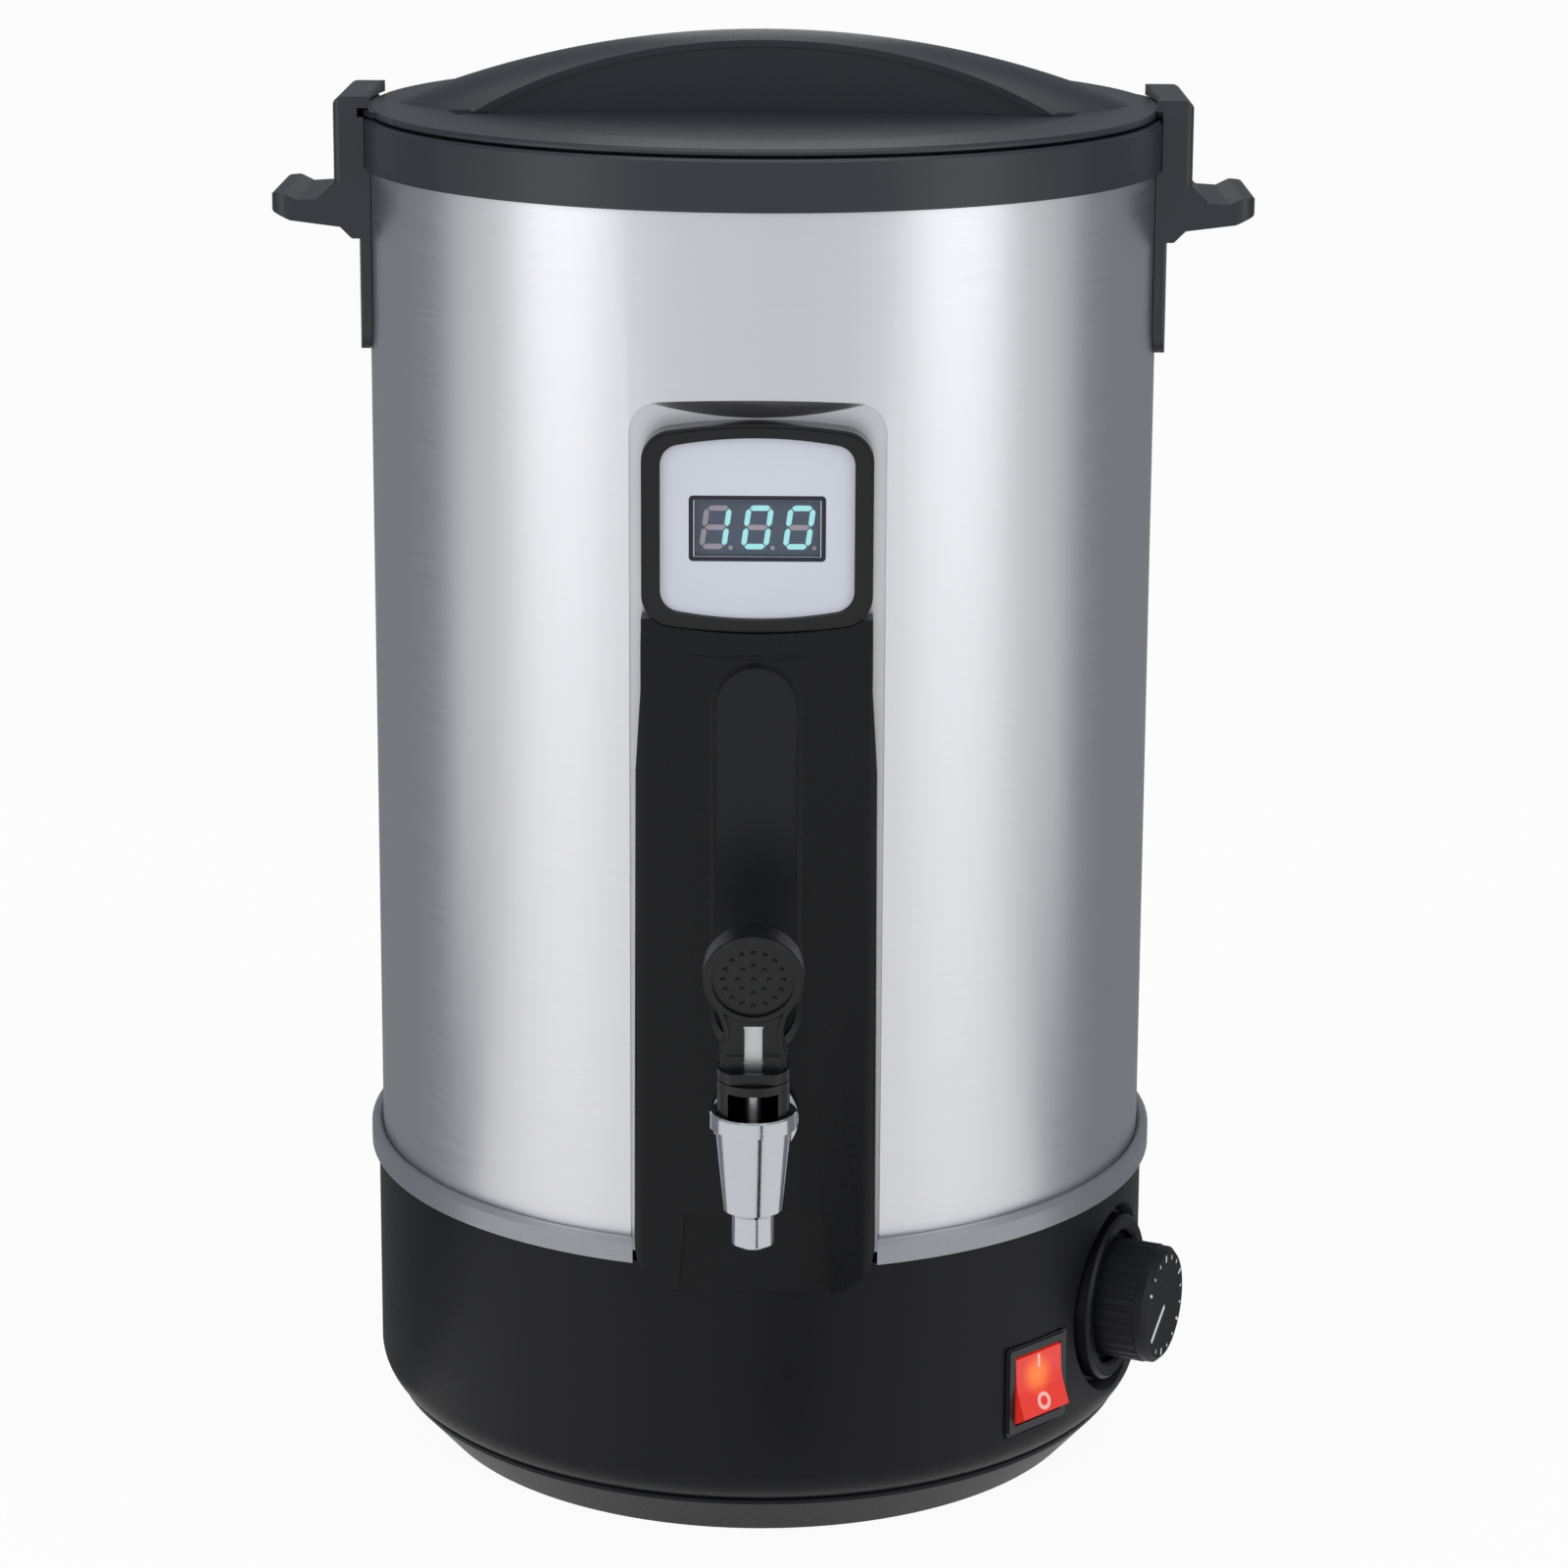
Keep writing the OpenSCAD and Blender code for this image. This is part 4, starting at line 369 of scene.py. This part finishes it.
class MELTER_OT_rocker(bpy.types.Operator):
    """Lit red finish of the rocker"""
    bl_idname = "melter.rocker"
    bl_label = "Rocker"

    def execute(self, context):
        # red polycarbonate with a neon lamp behind its upper half: it glows orange there
        material, tree, shader = start("polycarbonate_red_lit")
        place = add(tree, "ShaderNodeTexCoord").outputs["Object"]
        lamp = rocker_pivot() @ Vector((-0.0008, -0.0048, 0.0026))
        away = add(tree, "ShaderNodeVectorMath", {0: place, 1: lamp}, operation="DISTANCE")
        glow = add(tree, "ShaderNodeMapRange", {"Value": away.outputs["Value"], "From Min": 0.0008, "From Max": 0.0075,
                                                "To Min": 1.0, "To Max": 0.0}, interpolation_type="SMOOTHSTEP")
        shade = add(tree, "ShaderNodeMix", {"Factor": glow.outputs["Result"], "A": linear("A81208"),
                                            "B": linear("FFA21C")}, data_type="RGBA")
        feed(tree, shader, Emission_Color=shade.outputs["Result"])
        settle(shader, Base_Color=linear(context.scene.melter_plastics.rocker), Roughness=0.22, IOR=1.58,
               Emission_Strength=0.5)
        wear(material, "rocker")
        return {"FINISHED"}


# ---------- printed and filled marks ----------

UPRIGHT = Matrix(((1, 0, 0, 0), (0, 0, -1, 0), (0, 1, 0, 0), (0, 0, 0, 1)))    # X right, Y up, Z towards the front


def lay(piece, place):
    """Puts a finished piece at its place and keeps that place in its mesh."""
    piece.matrix_world = place
    bpy.ops.object.select_all(action="DESELECT")
    piece.select_set(True)
    bpy.context.view_layer.objects.active = piece
    bpy.ops.object.transform_apply(location=True, rotation=True, scale=True)
    return piece


def thicken(thickness):
    """Raises the flat mark being edited by its thickness and turns its faces outwards."""
    bpy.ops.mesh.select_all(action="SELECT")
    bpy.ops.mesh.extrude_region_move(TRANSFORM_OT_translate={"value": (0, 0, thickness)})
    bpy.ops.mesh.select_all(action="SELECT")
    bpy.ops.mesh.normals_make_consistent(inside=False)
    bpy.ops.object.mode_set(mode="OBJECT")


def plate(name, width, height, corner, segments):
    """A flat plate with rounded corners, left in edit mode."""
    bpy.ops.object.select_all(action="DESELECT")
    bpy.ops.mesh.primitive_plane_add(size=1.0)
    piece = bpy.context.object
    piece.name = name
    bpy.ops.object.mode_set(mode="EDIT")
    bpy.ops.mesh.select_all(action="SELECT")
    bpy.ops.transform.resize(value=(width, height, 1))
    bpy.ops.mesh.bevel(offset=corner, segments=segments, affect="VERTICES")
    return piece


def hollow(stroke):
    """Leaves only a border of the given width of the face being edited."""
    bpy.ops.mesh.select_all(action="SELECT")
    bpy.ops.mesh.inset(thickness=stroke)
    bpy.ops.mesh.delete(type="FACE")


def stroke_mark(name, width, length, thickness, place):
    """A straight stroke with rounded ends."""
    piece = plate(name, width, length, width * 0.3, 3)
    thicken(thickness)
    return lay(piece, place)


def ring_mark(name, radius, stroke, thickness, place):
    """A ring of the given outer radius and stroke."""
    bpy.ops.object.select_all(action="DESELECT")
    bpy.ops.mesh.primitive_circle_add(vertices=40, radius=radius, fill_type="NGON")
    piece = bpy.context.object
    piece.name = name
    bpy.ops.object.mode_set(mode="EDIT")
    hollow(stroke)
    thicken(thickness)
    return lay(piece, place)


def finish_mark(piece, material, body):
    """Gives a mark its ink and lets it ride with its body."""
    piece.data.materials.append(material)
    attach(piece, body)


def frame_mark(name, width, height, corner, stroke, thickness, place):
    """A rectangular frame with rounded corners."""
    piece = plate(name, width, height, corner, 6)
    hollow(stroke)
    thicken(thickness)
    return lay(piece, place)


class MELTER_OT_spring(bpy.types.Operator):
    """Wound valve spring, which stands in for the CAD spring"""
    bl_idname = "melter.spring"
    bl_label = "Spring"

    def execute(self, context):
        low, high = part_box("stem_spring")
        wire, turns, steps = 0.0005, 6, 24
        middle = (low + high) / 2
        radius = (high.x - low.x) / 2 - wire
        climb = (high.z - low.z - 2 * wire) / (turns * steps)
        bpy.ops.object.select_all(action="DESELECT")
        bpy.ops.curve.primitive_nurbs_path_add()
        coil = context.object
        coil.name = "valve_spring"
        line = coil.data.splines[0]
        line.type = "POLY"
        line.points.add(turns * steps + 1 - len(line.points))
        for i, point in enumerate(line.points):
            angle = 2 * math.pi * i / steps
            point.co = (middle.x + radius * math.cos(angle), middle.y + radius * math.sin(angle),
                        low.z + wire + climb * i, 1)
        coil.data.dimensions = "3D"
        coil.data.bevel_depth = wire
        coil.data.bevel_resolution = 2
        coil.data.use_fill_caps = True
        bpy.ops.object.convert(target="MESH")
        coil = context.object
        bpy.ops.object.shade_smooth()
        # drawn stainless spring wire: smooth and bright, with a faint darker drawing skin
        coil.data.materials.append(bare_metal("spring_wire", "BDBFC4", 0.26, 0.0004, (6, 6, 6), 0.01, 0.03))
        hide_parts("stem_spring")
        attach(coil, "root")
        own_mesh(coil)
        return {"FINISHED"}


class MELTER_OT_window_frame(bpy.types.Operator):
    """Dark frame printed round the number window"""
    bl_idname = "melter.window_frame"
    bl_label = "Window frame"

    def execute(self, context):
        # screen-printed navy border: a dense, slightly glossy ink on the silver label
        ink = moulded("screen_print_navy", "0D1426", 0.32, 0.0004, 0.01, 0.03)
        low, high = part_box("display_lens")
        front = min(low.y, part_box("display_face_plate")[0].y)
        place = Matrix.Translation(((low.x + high.x) / 2, front, (low.z + high.z) / 2)) @ UPRIGHT
        piece = frame_mark("window_frame", high.x - low.x + 0.0011, high.z - low.z + 0.0007, 0.0012, 0.0013, 0.00006,
                           place)
        finish_mark(piece, ink, "root")
        return {"FINISHED"}


class MELTER_OT_dial_marks(bpy.types.Operator):
    """White pointer fill and scale on the dial's face"""
    bl_idname = "melter.dial_marks"
    bl_label = "Dial marks"

    def execute(self, context):
        sizes = context.scene.melter_print
        # hot-stamped white foil: flat and dull, a little worn into the plastic
        foil = moulded("hot_stamped_white", sizes.white, 0.55, 0.0003, 0.03)
        face = Matrix.Rotation(DIAL_TURN, 4, "Z") @ Matrix.Translation((0, -DIAL_FACE, DIAL_UP)) @ UPRIGHT
        # the pointer lies over its groove, which runs from the knob's middle towards its edge
        pointer = face @ Matrix.Rotation(POINTER_TURN, 4, "Z") @ Matrix.Translation((0, 0.0074, 0.00002))
        finish_mark(stroke_mark("dial_pointer_fill", 0.0015, 0.0140, PRINT, pointer), foil, "dial")
        for i in range(sizes.ticks):
            angle = math.radians(150 - i * 270 / (sizes.ticks - 1))
            place = face @ Matrix.Rotation(angle - math.pi / 2, 4, "Z") @ Matrix.Translation((0, 0.0147, -0.00002))
            long = i % 3 == 0
            finish_mark(stroke_mark(f"dial_tick_{i + 1}", sizes.stroke * (1.5 if long else 1.0),
                                    sizes.tick * (1.0 if long else 0.6), PRINT, place), foil, "dial")
        return {"FINISHED"}


class MELTER_OT_rocker_marks(bpy.types.Operator):
    """Bar and ring that mark on and off on the rocker"""
    bl_idname = "melter.rocker_marks"
    bl_label = "Rocker marks"

    def execute(self, context):
        # pad-printed ink on red plastic that is lit from behind, so it looks pink
        ink = moulded("pad_print_pink", "F3B4AC", 0.4, 0.0003, 0.02)
        settle(ink.node_tree.nodes["Principled BSDF"], Emission_Color=linear("F0A098"), Emission_Strength=0.25)
        for name, height, lean in (("bar", 0.0066, FLANK_LEAN), ("ring", -0.0059, -FLANK_LEAN)):
            out = 0.0046 + (abs(height) - 0.0015) * FLANK_RISE
            place = (rocker_pivot() @ Matrix.Translation((0, -out, height))
                     @ Matrix.Rotation(math.radians(lean), 4, "X") @ UPRIGHT)
            if name == "bar":
                piece = stroke_mark("rocker_bar", 0.0011, 0.0042, PRINT, place)
            else:
                piece = ring_mark("rocker_ring", 0.0027, 0.0012, PRINT, place)
            finish_mark(piece, ink, "rocker")
        return {"FINISHED"}


# ---------- studio ----------

def softbox(name, size_x, size_y, place, target, radiance):
    """A rectangular lamp of the given radiance that faces a point."""
    lamp = bpy.data.lights.new(name, "AREA")
    lamp.shape = "RECTANGLE"
    lamp.size, lamp.size_y = size_x, size_y
    lamp.energy = radiance * math.pi * size_x * size_y
    holder = bpy.data.objects.new(name, lamp)
    bpy.context.scene.collection.objects.link(holder)
    holder.location = place
    holder.rotation_euler = (Vector(place) - Vector(target)).to_track_quat("Z", "Y").to_euler()
    return holder


def card(name, piece, code):
    """Makes a piece a card of the stage that the urn only mirrors; it is never seen and casts no shadow."""
    piece.name = name
    bpy.ops.object.transform_apply(location=True, rotation=True, scale=True)
    material, tree, shader = start("paint_" + name)
    settle(shader, Base_Color=(0, 0, 0, 1), Roughness=1.0, Specular_IOR_Level=0.0, Emission_Color=linear(code),
           Emission_Strength=1.0)
    piece.data.materials.append(material)
    piece.visible_camera = piece.visible_diffuse = piece.visible_shadow = piece.visible_transmission = False


def keep_sector(piece, first, last):
    """Drops the faces of the piece being edited that lie outside two directions from the front, in degrees."""
    bpy.ops.mesh.select_all(action="DESELECT")
    mesh = bmesh.from_edit_mesh(piece.data)
    for face in mesh.faces:
        centre = face.calc_center_median()
        face.select_set(not first < math.degrees(math.atan2(centre.x, -centre.y)) < last)
    bmesh.update_edit_mesh(piece.data)
    bpy.ops.mesh.delete(type="FACE")
    bpy.ops.object.mode_set(mode="OBJECT")


def round_card(name, first, last, radius, height, code):
    """A curved card between two directions from the front, in degrees, round the urn."""
    bpy.ops.object.select_all(action="DESELECT")
    bpy.ops.mesh.primitive_cylinder_add(vertices=120, radius=radius, depth=height, end_fill_type="NOTHING",
                                        location=(0, 0, height / 2))
    piece = bpy.context.object
    bpy.ops.object.mode_set(mode="EDIT")
    keep_sector(piece, first, last)
    card(name, piece, code)


def low_card(name, first, last, inner, outer, code):
    """A sector of the floor round the urn's foot, between two directions from the front."""
    bpy.ops.object.select_all(action="DESELECT")
    bpy.ops.mesh.primitive_circle_add(vertices=120, radius=outer, fill_type="NGON", location=(0, 0, 0.002))
    piece = bpy.context.object
    bpy.ops.object.mode_set(mode="EDIT")
    hollow(outer - inner)
    keep_sector(piece, first, last)
    card(name, piece, code)


def floor_card(name, angle, code):
    """A narrow strip on the floor before the tap; the cup mirrors it as one thin dark line."""
    bpy.ops.object.select_all(action="DESELECT")
    bpy.ops.mesh.primitive_plane_add(size=1.0, rotation=(0, 0, angle),
                                     location=(math.sin(angle) * 0.26, -0.165 - math.cos(angle) * 0.26, 0.002))
    piece = bpy.context.object
    piece.scale = (0.05, 0.46, 1)
    card(name, piece, code)


def pick_edges(piece, test):
    """Selects the edges of the piece being edited whose ends all pass a test."""
    bpy.ops.mesh.select_all(action="DESELECT")
    mesh = bmesh.from_edit_mesh(piece.data)
    for edge in mesh.edges:
        edge.select_set(all(test(v.co) for v in edge.verts))
    bmesh.update_edit_mesh(piece.data)


class MELTER_OT_stage(bpy.types.Operator):
    """Floor, backdrop, lamps and camera"""
    bl_idname = "melter.stage"
    bl_label = "Stage"

    def execute(self, context):
        scene = context.scene
        sizes = scene.melter_studio
        # one white sweep: a floor that curves up behind the urn
        bpy.ops.object.select_all(action="DESELECT")
        bpy.ops.mesh.primitive_plane_add(size=6.0, location=(0, -0.6, 0))
        sweep = context.object
        sweep.name = "sweep"
        bpy.ops.object.mode_set(mode="EDIT")
        pick_edges(sweep, lambda co: co.y > 1)
        bpy.ops.mesh.extrude_region_move(TRANSFORM_OT_translate={"value": (0, 0, 3.0)})
        pick_edges(sweep, lambda co: co.y > 1 and co.z < 0.01)
        bpy.ops.mesh.bevel(offset=1.0, segments=16)
        bpy.ops.object.mode_set(mode="OBJECT")
        bpy.ops.object.shade_smooth()
        material, tree, shader = start("paper_white_sweep")
        settle(shader, Base_Color=linear("E8E8E8"), Roughness=0.9, IOR=1.3)
        # the camera sees almost plain white, and the paper's own share under it keeps the urn's faint shadow
        ray = add(tree, "ShaderNodeLightPath")
        seen = add(tree, "ShaderNodeMath", {0: ray.outputs["Is Glossy Ray"], 1: ray.outputs["Is Transmission Ray"]},
                   operation="MAXIMUM")
        seen = add(tree, "ShaderNodeMath", {0: seen.outputs[0], 1: 0.70}, operation="MULTIPLY")
        share = add(tree, "ShaderNodeMath", {0: ray.outputs["Is Camera Ray"], 1: 0.94}, operation="MULTIPLY")
        share = add(tree, "ShaderNodeMath", {0: share.outputs[0], 1: seen.outputs[0]}, operation="MAXIMUM")
        white = add(tree, "ShaderNodeEmission", {"Color": (1, 1, 1, 1), "Strength": 1.0})
        both = add(tree, "ShaderNodeMixShader", {0: share.outputs[0], 1: shader.outputs[0], 2: white.outputs[0]})
        tree.links.new(both.outputs[0], tree.nodes["Material Output"].inputs["Surface"])
        sweep.data.materials.append(material)

        aim, away, turn = (0, 0, 0.25), 2.3, math.radians(57)
        for side, name in ((-1, "left"), (1, "right")):
            place = (side * math.sin(turn) * away, -math.cos(turn) * away, 1.05)
            softbox("softbox_" + name, 1.3, 2.2, place, aim, sizes.softbox)
            round_card("card_" + name, *sorted((90 * side, 170 * side)), 0.46, 0.9, sizes.flags)
            low_card("card_low_" + name, *sorted((78 * side, 170 * side)), 0.126, 0.6, sizes.flags)
        # a pale card behind the camera lifts the steel between the two highlights
        round_card("card_fill", -40, 40, 2.4, 1.8, "E2E3E6")
        floor_card("card_front", math.radians(22), "08080A")
        softbox("softbox_over", 1.8, 1.8, (0, 0.1, 2.4), aim, sizes.overhead)

        world = bpy.data.worlds.new("room")
        world.use_nodes = True
        tree = world.node_tree
        background = tree.nodes["Background"]
        background.inputs["Color"].default_value = (0.96, 0.98, 1.0, 1)
        # the camera sees the room as white as the sweep; every other ray meets it at its own strength
        ray = add(tree, "ShaderNodeLightPath")
        seen = add(tree, "ShaderNodeMath", {0: ray.outputs["Is Camera Ray"], 1: 0.97}, operation="MULTIPLY")
        share = add(tree, "ShaderNodeMath", {0: seen.outputs[0], 1: sizes.room}, operation="MAXIMUM")
        tree.links.new(share.outputs[0], background.inputs["Strength"])
        scene.world = world

        camera = bpy.data.objects.new("camera", bpy.data.cameras.new("camera"))
        scene.collection.objects.link(camera)
        camera.data.lens = sizes.lens
        camera.data.sensor_width = 36
        camera.data.shift_x, camera.data.shift_y = sizes.shift_x, sizes.shift_y
        camera.location = (math.sin(sizes.turn) * sizes.distance, -math.cos(sizes.turn) * sizes.distance,
                           sizes.height)
        look = (Matrix.Rotation(sizes.turn, 3, "Z") @ Matrix.Rotation(math.pi / 2 - sizes.pitch, 3, "X")
                @ Matrix.Rotation(sizes.roll, 3, "Z"))
        camera.rotation_euler = look.to_euler()
        scene.camera = camera
        scene.view_settings.view_transform = "Standard"
        return {"FINISHED"}


# ---------- add-on ----------

STEPS = (MELTER_OT_plastics, MELTER_OT_ring, MELTER_OT_metals, MELTER_OT_soft_parts, MELTER_OT_display,
         MELTER_OT_rocker, MELTER_OT_spring, MELTER_OT_window_frame, MELTER_OT_dial_marks,
         MELTER_OT_rocker_marks, MELTER_OT_stage)


class MELTER_PT_pieces(bpy.types.Panel):
    bl_label = "Candle wax melter"
    bl_idname = "MELTER_PT_pieces"
    bl_space_type = "VIEW_3D"
    bl_region_type = "UI"
    bl_category = "Melter"

    def draw(self, context):
        for group in GROUPS:
            box = self.layout.box()
            held = getattr(context.scene, group)
            for name in held.__annotations__:
                box.prop(held, name)
        for step in STEPS:
            self.layout.operator(step.bl_idname)


CLASSES = (*GROUPS.values(), *STEPS, MELTER_PT_pieces)


def register():
    for cls in CLASSES:
        bpy.utils.register_class(cls)
    for name, group in GROUPS.items():
        setattr(bpy.types.Scene, name, bpy.props.PointerProperty(type=group))


def unregister():
    for name in GROUPS:
        delattr(bpy.types.Scene, name)
    for cls in reversed(CLASSES):
        bpy.utils.unregister_class(cls)


def main():
    register()
    for step in STEPS:
        group, name = step.bl_idname.split(".")
        getattr(getattr(bpy.ops, group), name)()


if __name__ == "__main__":
    main()
